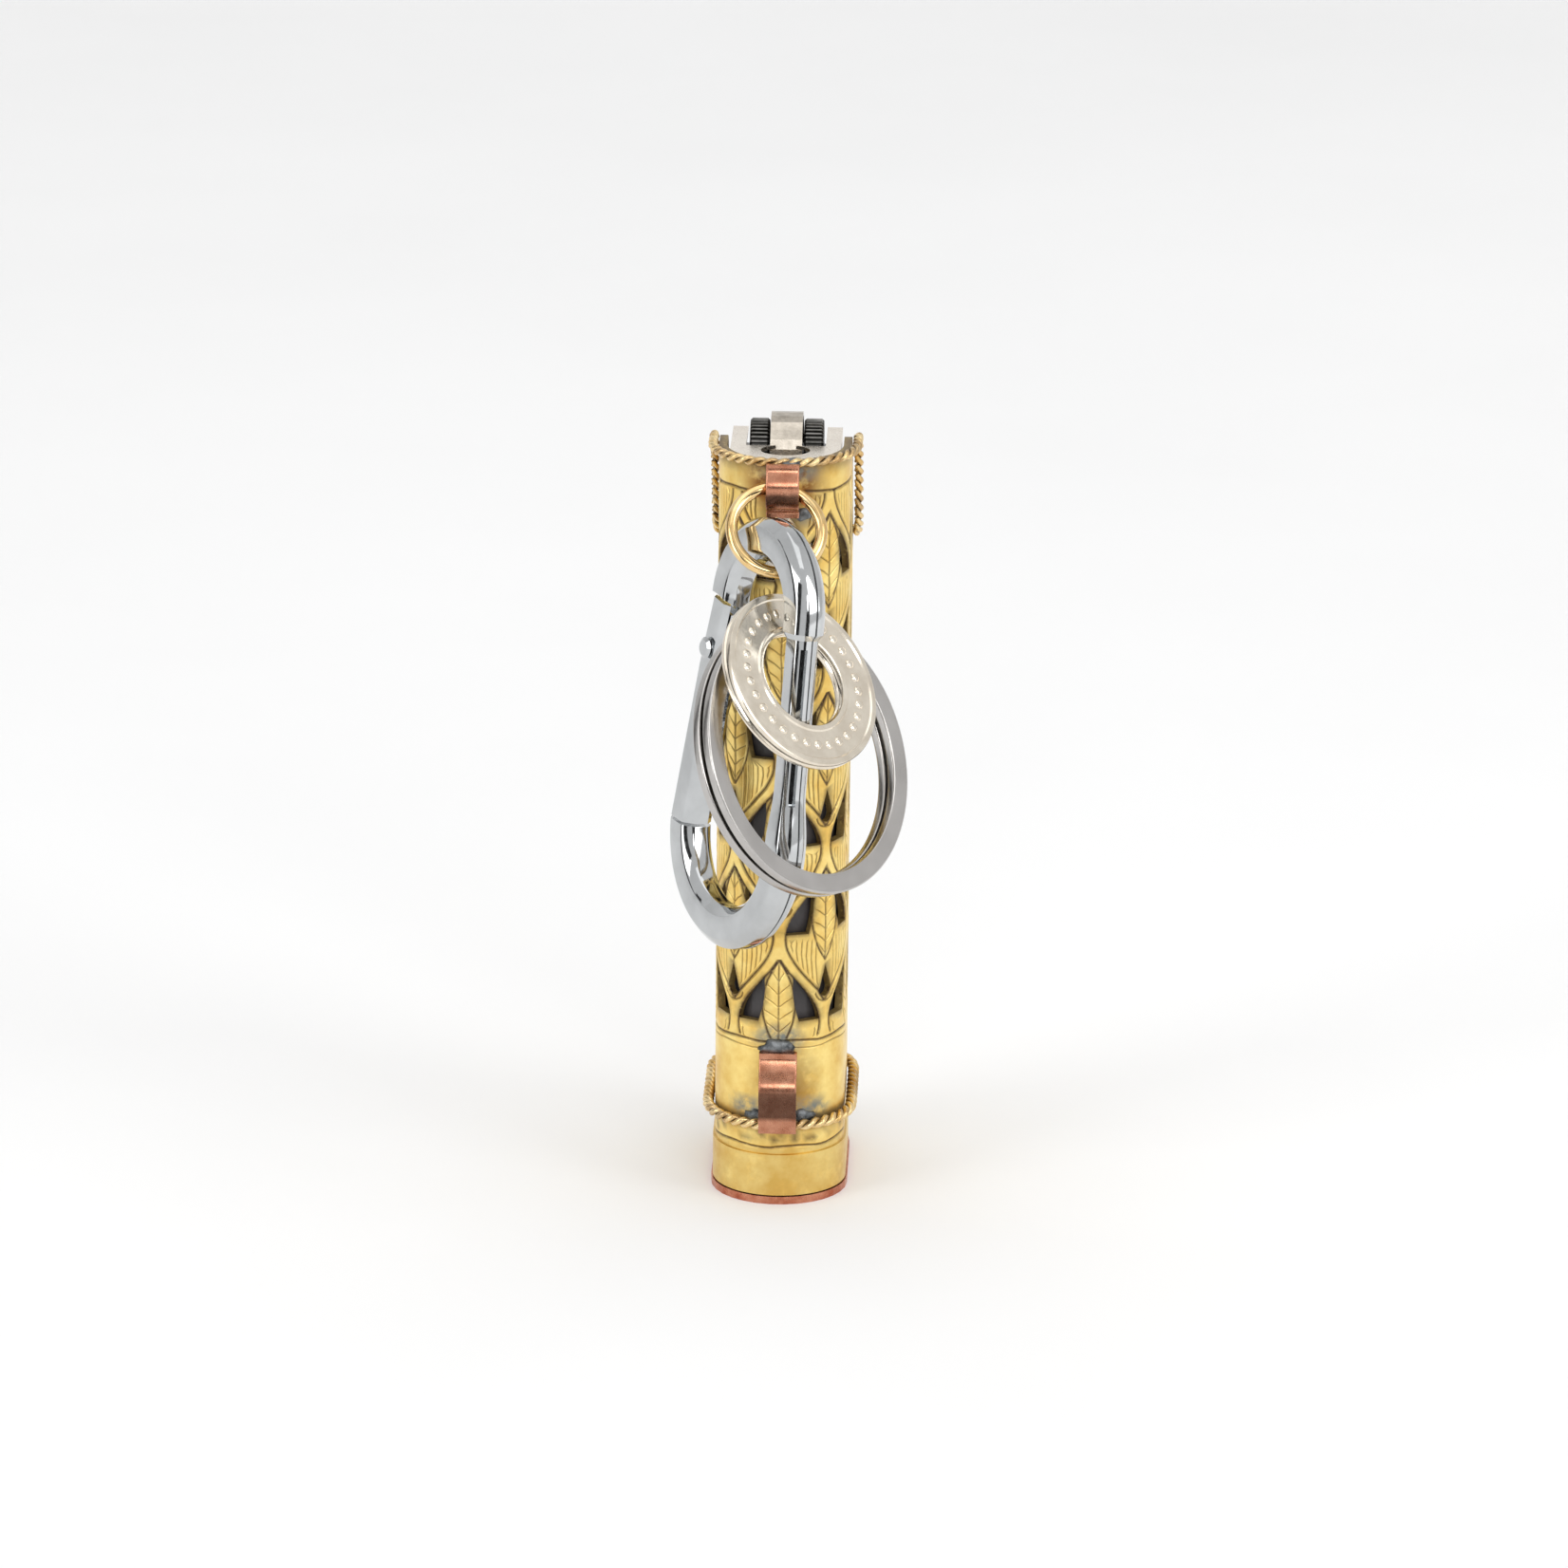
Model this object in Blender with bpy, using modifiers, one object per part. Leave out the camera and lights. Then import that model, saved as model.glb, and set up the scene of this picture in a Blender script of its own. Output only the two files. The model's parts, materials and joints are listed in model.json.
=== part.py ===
"""A pierced brass lighter case with a spring-gate hook, split ring and washer tag.

Metres, +Z up. The origin is the centre of the base plate's underside. +X is across the narrow
end, and -Y is the narrow end that carries the straps.
"""
import math

import bmesh
import bpy
from mathutils import Matrix, Vector

# Gaps: soldered pieces touch through a film, loose ones keep a running clearance.
SOLDER_FILM = 0.0001
REST_GAP = 0.0003
RUNNING_GAP = 0.0003

# The lighter that the case is made round, and the sheet that the case is bent from.
LIGHTER_WIDTH = 0.0111
LIGHTER_DEPTH = 0.0213
CASE_CLEARANCE = 0.0003
CASE_WALL = 0.0008
CASE_WIDTH = LIGHTER_WIDTH + 2 * (CASE_CLEARANCE + CASE_WALL)
CASE_DEPTH = LIGHTER_DEPTH + 2 * (CASE_CLEARANCE + CASE_WALL)
BASE_THICKNESS = 0.0008
BASE_PROUD = 0.00035
ROUND_STEPS = 15

# The rim is high at the narrow end and sweeps down behind for the thumb.
RIM_HIGH = 0.0786
RIM_LOW = 0.0662
RIM_DROP_FROM = -0.0020
RIM_DROP_TO = 0.0075
RIM_STEPS = 10

# The foot band is a second turn of thin sheet.
BAND_TOP = 0.0053
BAND_PROUD = 0.0002

# Pierced lattice: stems cross in ogee cells, each with two horns and a drop cut through.
LATTICE_BOTTOM = 0.0192
LATTICE_TOP = 0.0750
LATTICE_COLUMNS = 6
LATTICE_ROWS = 3
STEM_WIDTH = 0.0013
HORN_FOOT = 0.0004
HORN_TIP = 0.0052
HORN_INNER = 0.0021
HORN_STEPS = 3
DROP_RADIUS = 0.0008
DROP_LENGTH = 0.0026
DROP_CENTRE = -0.0058
WINDOW_MARGIN = 0.0026
EYE_WIDTH = 0.0036
EYE_HEIGHT = 0.0066
EYE_CENTRE = 0.0697

# Twisted trim wires, two strands laid together.
RIM_WIRE = 0.0010
FOOT_WIRE = 0.0012
FOOT_WIRE_HEIGHT = 0.0087
TWIST_PITCH = 0.0025
TWIST_STEPS = 6
WIRE_END_GAP = 0.0006

# Copper straps soldered on the narrow end.
STRAP_SHEET = 0.0007
UPPER_STRAP_WIDTH = 0.0033
UPPER_STRAP_DROP = 0.0049
UPPER_STRAP_REACH = 0.0019
LOWER_STRAP_WIDTH = 0.00385
LOWER_STRAP_TOP = 0.0165
LOWER_STRAP_REACH = 0.0016

# The lighter.
TANK_TOP = 0.0640
TANK_PLUG = 0.0016
TANK_NECK = 0.0025
HOOD_SHEET = 0.00035
HOOD_HEIGHT = 0.0140
HOOD_TOP = TANK_TOP + HOOD_HEIGHT
HOOD_BACK = 0.0040
FLAME_HOLE_WIDTH = 0.0050
FLAME_HOLE_LENGTH = 0.0040
FLAME_HOLE_PLACE = -0.0052
WHEEL_AXIS_Y = 0.0009
WHEEL_DROP = 0.0017
WHEEL_AXIS_Z = HOOD_TOP - WHEEL_DROP
WHEEL_RADIUS = 0.0033
WHEEL_OVERALL = 0.0074
WHEEL_FACE = 0.00195
WHEEL_TEETH = 22
TOOTH_DEPTH = 0.00022
STRIKER_RADIUS = 0.0029
AXLE_RADIUS = 0.0008
GUARD_WIDTH = 0.0032
GUARD_SHEET = 0.0004
GUARD_STEPS = 14
FLINT_RADIUS = 0.0012
FLINT_LENGTH = 0.0030
FLINT_BORE_DEPTH = 0.0130
TOWER_WALL = 0.0007
FLINT_SPRING_WIRE = 0.00035
FLINT_SPRING_TURNS = 6
VALVE_RADIUS = 0.0010
VALVE_COLLAR = 0.0017
VALVE_DROP = 0.0036
VALVE_TOP = HOOD_TOP - VALVE_DROP
LEVER_SHEET = 0.0014
LEVER_BACK = 0.0098
LEVER_ARM = 0.0013
LEVER_PIN = 0.0007
LEVER_BOSS = LEVER_PIN + RUNNING_GAP + TOWER_WALL
LEVER_CLEARANCE = 0.0007
LEVER_HEIGHT = WHEEL_AXIS_Z - WHEEL_RADIUS - LEVER_CLEARANCE - LEVER_BOSS

# The jump ring, cut from round brass wire, leans out from the upper strap, turned a little.
RING_WIRE = 0.0012
RING_OUTER = 0.0102
RING_LEAN = math.radians(37)
RING_TURN = math.radians(9)
RING_CUT = math.radians(5)
RING_CUT_PLACE = math.radians(52)
RING_STEPS = 36
RING_ASIDE = -0.0005
LINK_GAP = 0.0006

# The snap hook, in its own plane: first across to the spine, then up.
HOOK_UP = Vector((0.052, 0.190, 0.980)).normalized()
HOOK_FACE = Vector((-0.844, -0.515, 0.145)).normalized()
HOOK_PLACE = -0.0005
BAR_ACROSS = 0.0042
BAR_THICK = 0.0034
BAR_CHAMFER = 0.0009
WAIST = 0.78
HOOK_TOP_RADIUS = 0.0071
HOOK_BOTTOM_RADIUS = 0.0094
HOOK_LENGTH = 0.0435
HOOK_SPINE_TOP = 0.0061
HOOK_SPINE_FOOT = 0.0054
SHOULDER_FROM = -0.0042
SHOULDER_TO = -0.0072
WAIST_END = -0.0262
HOOK_ARC_STEPS = 14
GATE_PIVOT = Vector((-0.0097, -0.0098))
GATE_LENGTH = 0.0181
GATE_HEAD = 0.0052
GATE_WIDTH_TOP = 0.0036
GATE_WIDTH_FOOT = 0.0041
GATE_SLOT = 0.0019
GATE_SLOT_DEPTH = 0.0090
GATE_FORK_DEPTH = 0.0027
GATE_WALL = 0.0011
TONGUE_WIDTH = 0.0030
RIVET_RADIUS = 0.0008
RIVET_HEAD = 0.0011
RIVET_HEAD_HEIGHT = 0.00035
GATE_SPRING_WIRE = 0.0003
GATE_SPRING_RADIUS = 0.00062
GATE_SPRING_TURNS = 5

# The split ring, two turns of flat wire, hangs askew on the hook's spine. Its place and face,
# and the tag's, are in the hook's own axes: across, up and out.
SPLIT_OUTER = 0.0280
SPLIT_FLAT = 0.0020
SPLIT_SHEET = 0.0009
SPLIT_PITCH = 0.00135
SPLIT_PLACE = Vector((0.0045, -0.0189, -0.0017))
SPLIT_FACE = Vector((0.909, 0.321, -0.265)).normalized()
SPLIT_STEPS = 36
SPLIT_RAMP = math.radians(40)
SPLIT_END_GAP = math.radians(24)

# The washer tag, two stamped faces pressed back to back.
TAG_OUTER = 0.0185
TAG_BORE = 0.0098
TAG_SHEET = 0.0007
TAG_PLACE = Vector((0.00588, -0.0113, -0.00005))
TAG_FACE = Vector((0.841, 0.507, -0.186)).normalized()
TAG_STEPS = 36

WELD = 0.000001


def collection(name):
    group = bpy.data.collections.new(name)
    bpy.context.scene.collection.children.link(group)
    return group


def metal(name, colour, roughness, metallic=1.0):
    material = bpy.data.materials.new(name)
    material.use_nodes = True
    shader = material.node_tree.nodes["Principled BSDF"]
    shader.inputs["Base Color"].default_value = (*colour, 1)
    shader.inputs["Roughness"].default_value = roughness
    shader.inputs["Metallic"].default_value = metallic
    material.diffuse_color = (*colour, 1)
    return material


def add(name, mesh, material=None, group=None):
    """Put a mesh in the scene, smooth where it is round."""
    item = bpy.data.objects.new(name, mesh)
    (group or PARTS).objects.link(item)
    if material:
        mesh.materials.append(material)
        mesh.shade_smooth()
        mesh.set_sharp_from_angle(angle=math.radians(30))
    else:
        item.hide_render = True
        item.display_type = "WIRE"
    return item


def mesh_of(item):
    """The welded mesh of a curve object or of an object's modifiers, which then goes."""
    depsgraph = bpy.context.evaluated_depsgraph_get()
    mesh = bpy.data.meshes.new_from_object(item.evaluated_get(depsgraph))
    mesh.transform(item.matrix_world)
    bpy.data.objects.remove(item)
    shape = bmesh.new()
    shape.from_mesh(mesh)
    bmesh.ops.remove_doubles(shape, verts=shape.verts, dist=WELD)
    bmesh.ops.recalc_face_normals(shape, faces=shape.faces)
    shape.to_mesh(mesh)
    shape.free()
    return mesh


def outline_curve(name, outlines, dimensions="2D", closed=True):
    curve = bpy.data.curves.new(name, "CURVE")
    curve.dimensions = dimensions
    for outline in outlines:
        spline = curve.splines.new("POLY")
        spline.points.add(len(outline) - 1)
        for point, place in zip(spline.points, outline):
            point.co = (*Vector(place).to_3d(), 1)
        spline.use_cyclic_u = closed
    return curve


def plate(outlines, thickness, low=None):
    """A flat plate: the first outline is its edge and the rest are holes. It lies about its
    own plane, or stands on the height low."""
    curve = outline_curve("plate", outlines)
    curve.fill_mode = "BOTH"
    curve.extrude = thickness / 2
    item = add("plate", curve, group=GUIDES)
    if low is not None:
        item.location.z = low + thickness / 2
    bpy.context.view_layer.update()
    return mesh_of(item)


def swept(name, points, section, closed=False, tilts=None, radii=None, twist="MINIMUM"):
    """A bar of one section along points, with its ends filled."""
    profile = add(name + "_section", outline_curve(name, [section]), group=GUIDES)
    curve = outline_curve(name, [points], "3D", closed)
    curve.twist_mode = twist
    curve.bevel_mode = "OBJECT"
    curve.bevel_object = profile
    curve.use_fill_caps = True
    for index, point in enumerate(curve.splines[0].points):
        point.tilt = tilts[index] if tilts else 0
        point.radius = radii[index] if radii else 1
    return mesh_of(add(name, curve, group=GUIDES))


def round_wire(name, points, radius, sides=2, closed=False):
    curve = outline_curve(name, [points], "3D", closed)
    curve.bevel_depth = radius
    curve.bevel_resolution = sides
    curve.use_fill_caps = True
    return mesh_of(add(name, curve, group=GUIDES))


def turned(profile, steps):
    """A profile of (radius, height) points, down its outer side first, turned about Z."""
    mesh = bpy.data.meshes.new("turned")
    places = [(radius, 0, height) for radius, height in profile]
    rows = [(i, i + 1) for i in range(len(places) - 1)]
    mesh.from_pydata(places, rows, [])
    item = add("turned", mesh, group=GUIDES)
    screw = item.modifiers.new("Turn", "SCREW")
    screw.steps = steps
    screw.render_steps = steps
    screw.use_merge_vertices = True
    screw.merge_threshold = WELD
    bpy.context.view_layer.update()
    return mesh_of(item)


def moved(mesh, matrix):
    mesh.transform(matrix)
    return mesh


def boolean(item, other, operation="DIFFERENCE", solver="EXACT"):
    modifier = item.modifiers.new(operation.title(), "BOOLEAN")
    modifier.solver = solver
    modifier.operation = operation
    modifier.object = other
    return item


def cutter(name, mesh):
    return add(name, mesh, group=CUTTERS)


def pivot(name, place, parent=None):
    """An empty on a joint's axis."""
    empty = bpy.data.objects.new(name, None)
    PARTS.objects.link(empty)
    hang(empty, Matrix.Translation(place), parent)
    return empty


def hang(item, matrix, parent=None):
    """Place an item in the world and parent it to a joint's empty."""
    item.parent = parent
    if parent:
        item.matrix_parent_inverse = WORLD[parent.name].inverted()
    item.matrix_basis = matrix
    WORLD[item.name] = matrix
    return item


def axes(right, up, out, place):
    """The matrix with these three directions, at this place."""
    matrix = Matrix((right, up, out)).transposed().to_4x4()
    matrix.translation = place
    return matrix


def plane_axes(face, place):
    """Axes of a disc: its face points out, and its second axis is the highest direction."""
    up = (Vector((0, 0, 1)) - face * face.z).normalized()
    return axes(up.cross(face), up, face, place)


def arc(centre, radius, start, end, steps):
    turn = [start + (end - start) * i / steps for i in range(steps + 1)]
    return [(centre[0] + radius * math.cos(a), centre[1] + radius * math.sin(a)) for a in turn]


def circle(radius, steps, centre=(0, 0)):
    return arc(centre, radius, 0, 2 * math.pi, steps)[:-1]


def oval(width, depth, steps=ROUND_STEPS):
    """Two half circles joined by straights, long way along Y."""
    radius = width / 2
    half = (depth - width) / 2
    near = arc((0, -half), radius, math.pi, 2 * math.pi, steps)
    far = arc((0, half), radius, 0, math.pi, steps)
    return near + far


def box(low, high):
    """A box between two corners."""
    outline = [(low[0], low[1]), (high[0], low[1]), (high[0], high[1]), (low[0], high[1])]
    return plate([outline], high[2] - low[2], low[2])


def oval_place(distance, width, depth):
    """Point and outward angle on the oval, at a distance round from the near end to +X."""
    radius = width / 2
    straight = depth - width
    quarter = math.pi * radius / 2
    distance = distance % oval_length(width, depth)
    if distance < quarter:
        angle = -math.pi / 2 + distance / radius
        centre = -straight / 2
    elif distance < quarter + straight:
        return Vector((radius, -straight / 2 + distance - quarter)), 0.0
    elif distance < 3 * quarter + straight:
        angle = (distance - quarter - straight) / radius
        centre = straight / 2
    elif distance < 3 * quarter + 2 * straight:
        return Vector((-radius, straight / 2 - distance + 3 * quarter + straight)), math.pi
    else:
        angle = math.pi + (distance - 3 * quarter - 2 * straight) / radius
        centre = -straight / 2
    return Vector((radius * math.cos(angle), centre + radius * math.sin(angle))), angle


def oval_length(width, depth):
    return math.pi * width + 2 * (depth - width)


def rim_height(y):
    """Height of the sleeve's edge at a place from front to back, eased at both ends."""
    share = min(max((y - RIM_DROP_FROM) / (RIM_DROP_TO - RIM_DROP_FROM), 0), 1)
    return RIM_HIGH - (RIM_HIGH - RIM_LOW) * share * share * (3 - 2 * share)


def stem_edge(height):
    """Half the width of an ogee cell between its stems, at a height from its middle."""
    column = oval_length(CASE_WIDTH, CASE_DEPTH) / LATTICE_COLUMNS
    cell = (LATTICE_TOP - LATTICE_BOTTOM) / LATTICE_ROWS
    return column / 4 * (1 + math.cos(2 * math.pi * height / cell)) - STEM_WIDTH / 2


def horn(side):
    """One horn-shaped window beside a leaf: straight foot, edge along the stem, sharp tip."""
    rise = [HORN_FOOT + (HORN_TIP - HORN_FOOT) * i / HORN_STEPS for i in range(HORN_STEPS + 1)]
    outer = [(side * stem_edge(z), z) for z in rise]
    middle = (HORN_FOOT + HORN_TIP) / 2
    inner = [(side * (HORN_INNER + stem_edge(HORN_TIP)) / 2, middle), (side * HORN_INNER, HORN_FOOT)]
    return outer + inner if side > 0 else (outer + inner)[::-1]


def drop():
    """A drop-shaped window under a leaf."""
    belly = arc((0, DROP_CENTRE), DROP_RADIUS, math.radians(-200), math.radians(20), 5)
    return belly + [(0, DROP_CENTRE + DROP_LENGTH)]


def eye():
    """The oval window behind the jump ring."""
    turn = [2 * math.pi * i / 18 for i in range(18)]
    return [(EYE_WIDTH / 2 * math.cos(a), EYE_HEIGHT / 2 * math.sin(a)) for a in turn]


def window_places():
    """Every window of the lattice as (distance round, height, outline), clear of the rim."""
    around = oval_length(CASE_WIDTH, CASE_DEPTH)
    column = around / LATTICE_COLUMNS
    cell = (LATTICE_TOP - LATTICE_BOTTOM) / LATTICE_ROWS
    windows = [(0.0, EYE_CENTRE, eye())]
    for half_row in range(2 * LATTICE_ROWS + 1):
        for number in range(LATTICE_COLUMNS):
            distance = column * (number + 0.5 * (half_row % 2))
            height = LATTICE_BOTTOM + cell * half_row / 2
            limit = rim_height(oval_place(distance, CASE_WIDTH, CASE_DEPTH)[0].y) - WINDOW_MARGIN
            for outline in (horn(1), horn(-1), drop()):
                low = height + min(z for _, z in outline)
                high = height + max(z for _, z in outline)
                beside_eye = abs((distance + around / 2) % around - around / 2) < column / 2
                if beside_eye and high > EYE_CENTRE - EYE_HEIGHT / 2 - STEM_WIDTH:
                    continue
                if low >= LATTICE_BOTTOM - STEM_WIDTH and high <= limit:
                    windows.append((distance, height, outline))
    return windows


def make_sleeve():
    """Bent sheet with a foot band, a swept rim and the pierced lattice."""
    foot = BASE_THICKNESS + SOLDER_FILM
    above = RIM_HIGH + CASE_WALL
    over = above + CASE_WALL
    inner = oval(CASE_WIDTH - 2 * CASE_WALL, CASE_DEPTH - 2 * CASE_WALL)
    outer = oval(CASE_WIDTH, CASE_DEPTH)
    band = oval(CASE_WIDTH + 2 * BAND_PROUD, CASE_DEPTH + 2 * BAND_PROUD)
    beyond = oval(CASE_WIDTH + 2 * CASE_WALL, CASE_DEPTH + 2 * CASE_WALL)
    sleeve = add("case_sleeve", plate([band, inner], above - foot, foot), BRASS)
    skim = cutter("skim_above_band", plate([beyond, outer], over - BAND_TOP, BAND_TOP))
    boolean(sleeve, skim, solver="MANIFOLD")

    span = RIM_DROP_TO - RIM_DROP_FROM
    sweep = [RIM_DROP_FROM + span * i / RIM_STEPS for i in range(RIM_STEPS + 1)]
    rim = [(y, rim_height(y)) for y in sweep]
    rim_outline = [(-CASE_DEPTH, RIM_HIGH)] + rim
    rim_outline += [(CASE_DEPTH, RIM_LOW), (CASE_DEPTH, over), (-CASE_DEPTH, over)]
    rim_cut = plate([rim_outline], 2 * CASE_WIDTH)
    boolean(sleeve, cutter("rim_cut", moved(rim_cut, SIDEWAYS)), solver="MANIFOLD")

    joined = bmesh.new()
    for distance, height, outline in window_places():
        middle = (min(x for x, _ in outline) + max(x for x, _ in outline)) / 2
        outline = [(x - middle, z) for x, z in outline]
        place, angle = oval_place(distance + middle, CASE_WIDTH, CASE_DEPTH)
        outward = Vector((math.cos(angle), math.sin(angle), 0))
        along = Vector((-math.sin(angle), math.cos(angle), 0))
        centre = place.to_3d() + Vector((0, 0, height)) - outward * CASE_WALL / 2
        window = moved(plate([outline], 2.6 * CASE_WALL), axes(along, Vector((0, 0, 1)), outward, centre))
        joined.from_mesh(window)
        bpy.data.meshes.remove(window)
    windows = bpy.data.meshes.new("windows")
    joined.to_mesh(windows)
    joined.free()
    boolean(sleeve, cutter("window_cutters", windows), solver="MANIFOLD")


def make_base():
    outline = oval(CASE_WIDTH + 2 * BASE_PROUD, CASE_DEPTH + 2 * BASE_PROUD)
    add("base_plate", plate([outline], BASE_THICKNESS, 0), COPPER)


def twisted_wire(name, diameter, height_at):
    """Two strands laid together round the case, as one bar of a waisted section."""
    offset = diameter / 2 + SOLDER_FILM
    width = CASE_WIDTH + 2 * offset
    depth = CASE_DEPTH + 2 * offset
    around = oval_length(width, depth)
    count = round(around / TWIST_PITCH * TWIST_STEPS)
    start = around / 2 + WIRE_END_GAP / 2
    length = around - WIRE_END_GAP
    points = []
    for index in range(count + 1):
        place, _ = oval_place(start + length * index / count, width, depth)
        points.append((place.x, place.y, height_at(place.y)))
    tilts = [2 * math.pi * index / TWIST_STEPS for index in range(count + 1)]
    half = diameter / 2
    section = [(half, 0), (half * 0.5, half * 0.5), (-half * 0.5, half * 0.5),
               (-half, 0), (-half * 0.5, -half * 0.5), (half * 0.5, -half * 0.5)]
    add(name, swept(name, points, section, tilts=tilts), BRASS)


def strap(name, middle, width):
    """A strip of sheet bent to a side profile of (y, z) points along its middle."""
    curve = outline_curve(name, [middle], closed=False)
    curve.extrude = width / 2
    ribbon = mesh_of(add(name, curve, group=GUIDES))
    item = add(name, moved(ribbon, SIDEWAYS), COPPER)
    sheet = item.modifiers.new("Sheet", "SOLIDIFY")
    sheet.thickness = STRAP_SHEET
    sheet.offset = 0
    sheet.use_even_offset = True


def upper_strap_profile():
    face = -CASE_DEPTH / 2 - SOLDER_FILM - STRAP_SHEET / 2
    over_wire = face - RIM_WIRE - SOLDER_FILM
    crest = face - UPPER_STRAP_REACH
    top = RIM_HIGH + 0.0001
    foot = top - UPPER_STRAP_DROP
    tall = top - foot
    return [(over_wire, top), (over_wire - 0.0001, top - 0.15 * tall), (crest + 0.0001, top - 0.38 * tall),
            (crest, top - 0.52 * tall), (crest + 0.0001, top - 0.68 * tall),
            (crest + 0.0005, top - 0.86 * tall), (face - 0.0004, foot + 0.0001), (face, foot - 0.0007)]


def lower_strap_profile():
    face = -CASE_DEPTH / 2 - SOLDER_FILM - STRAP_SHEET / 2
    over_wire = face - FOOT_WIRE - SOLDER_FILM
    crest = face - LOWER_STRAP_REACH
    top = LOWER_STRAP_TOP
    foot = FOOT_WIRE_HEIGHT - FOOT_WIRE / 4
    tall = top - foot
    return [(face, top), (face, top - 0.10 * tall), (face - 0.0006, top - 0.24 * tall),
            (crest, top - 0.42 * tall), (crest, top - 0.78 * tall),
            (crest + 0.0001, top - 0.90 * tall), (over_wire, foot)]


def make_case():
    make_base()
    make_sleeve()
    twisted_wire("rim_twist_wire", RIM_WIRE, rim_height)
    twisted_wire("foot_twist_wire", FOOT_WIRE, lambda y: FOOT_WIRE_HEIGHT)
    strap("upper_strap_loop", upper_strap_profile(), UPPER_STRAP_WIDTH)
    strap("lower_strap_loop", lower_strap_profile(), LOWER_STRAP_WIDTH)


def coil(name, radius, wire, turns, low, high, material, group=None):
    """An open coil spring about Z, with its least gap to itself printed."""
    steps = 8
    count = turns * steps
    points = []
    for index in range(count + 1):
        angle = 2 * math.pi * index / steps
        height = low + wire / 2 + (high - low - wire) * index / count
        points.append((radius * math.cos(angle), radius * math.sin(angle), height))
    gap = min((Vector(a) - Vector(b)).length - wire
              for i, a in enumerate(points) for b in points[i + steps // 2 + 1:])
    print(name, "least gap to itself", round(gap * 1000, 3), "mm")
    return add(name, round_wire(name, points, wire / 2, 1), material, group)


def make_tank():
    """Tank with a neck for the hood, a tower for the flint and a bore for the valve."""
    floor = BASE_THICKNESS + REST_GAP
    outline = oval(LIGHTER_WIDTH, LIGHTER_DEPTH)
    add("tank_base_plug", plate([outline], TANK_PLUG, floor), TANK_PLASTIC)
    low = floor + TANK_PLUG + SOLDER_FILM
    tank = add("lighter_tank", plate([outline], TANK_TOP - low, low), TANK_PLASTIC)

    inset = 2 * (HOOD_SHEET + SOLDER_FILM)
    neck_outline = oval(LIGHTER_WIDTH - inset, LIGHTER_DEPTH - inset)
    neck = cutter("tank_neck", plate([neck_outline], 2 * TANK_NECK, TANK_TOP - TANK_NECK))
    boolean(tank, neck, "UNION")

    tower_radius = FLINT_RADIUS + RUNNING_GAP + TOWER_WALL
    tower_top = WHEEL_AXIS_Z - WHEEL_RADIUS - RUNNING_GAP
    place = (0, WHEEL_AXIS_Y)
    tower = plate([circle(tower_radius, 16, place)], tower_top - TANK_TOP, TANK_TOP)
    boolean(tank, cutter("flint_tower", tower), "UNION")
    reach = tower_radius + RUNNING_GAP + LEVER_ARM
    pins = moved(plate([circle(LEVER_PIN, 12)], 2 * reach), SIDEWAYS)
    pins = moved(pins, Matrix.Translation((0, WHEEL_AXIS_Y, LEVER_HEIGHT)))
    boolean(tank, cutter("lever_pins", pins), "UNION")
    bore = plate([circle(FLINT_RADIUS + RUNNING_GAP, 14, place)], 2 * FLINT_BORE_DEPTH,
                 tower_top - FLINT_BORE_DEPTH)
    boolean(tank, cutter("flint_bore", bore))
    valve_bore = plate([circle(VALVE_COLLAR + RUNNING_GAP, 14, (0, FLAME_HOLE_PLACE))], 2 * TANK_NECK,
                       TANK_TOP - TANK_NECK / 2)
    boolean(tank, cutter("valve_bore", valve_bore))
    return tower_radius, tower_top


def make_hood():
    """Pressed windshield: near half of the oval, open behind, with the flame hole."""
    low = TANK_TOP + SOLDER_FILM
    hood = add("lighter_hood", plate([oval(LIGHTER_WIDTH, LIGHTER_DEPTH)], HOOD_TOP - low, low), NICKEL)
    inner_outline = oval(LIGHTER_WIDTH - 2 * HOOD_SHEET, LIGHTER_DEPTH - 2 * HOOD_SHEET)
    inner = plate([inner_outline], HOOD_TOP - HOOD_SHEET, -HOOD_SHEET)
    boolean(hood, cutter("hood_inside", moved(inner, Matrix.Translation((0, 0, HOOD_SHEET)))))
    back = box((-CASE_WIDTH, HOOD_BACK, low - HOOD_SHEET), (CASE_WIDTH, CASE_DEPTH, HOOD_TOP + HOOD_SHEET))
    boolean(hood, cutter("hood_back", back))
    slot_half = WHEEL_OVERALL / 2 + RUNNING_GAP
    slot_front = WHEEL_AXIS_Y - WHEEL_RADIUS - GUARD_SHEET - 2 * RUNNING_GAP
    slot = box((-slot_half, slot_front, HOOD_TOP - 2 * HOOD_SHEET),
               (slot_half, CASE_DEPTH, HOOD_TOP + HOOD_SHEET))
    boolean(hood, cutter("wheel_slot", slot))
    turn = [2 * math.pi * i / 20 for i in range(20)]
    flame = [(FLAME_HOLE_WIDTH / 2 * math.cos(a),
              FLAME_HOLE_PLACE + FLAME_HOLE_LENGTH / 2 * math.sin(a)) for a in turn]
    boolean(hood, cutter("flame_hole", plate([flame], 4 * HOOD_SHEET, HOOD_TOP - 2 * HOOD_SHEET)))
    axle_holes = moved(plate([circle(AXLE_RADIUS + RUNNING_GAP / 2, 12)], 2 * CASE_WIDTH), SIDEWAYS)
    place = Matrix.Translation((0, WHEEL_AXIS_Y, WHEEL_AXIS_Z))
    boolean(hood, cutter("axle_holes", moved(axle_holes, place)))


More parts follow.
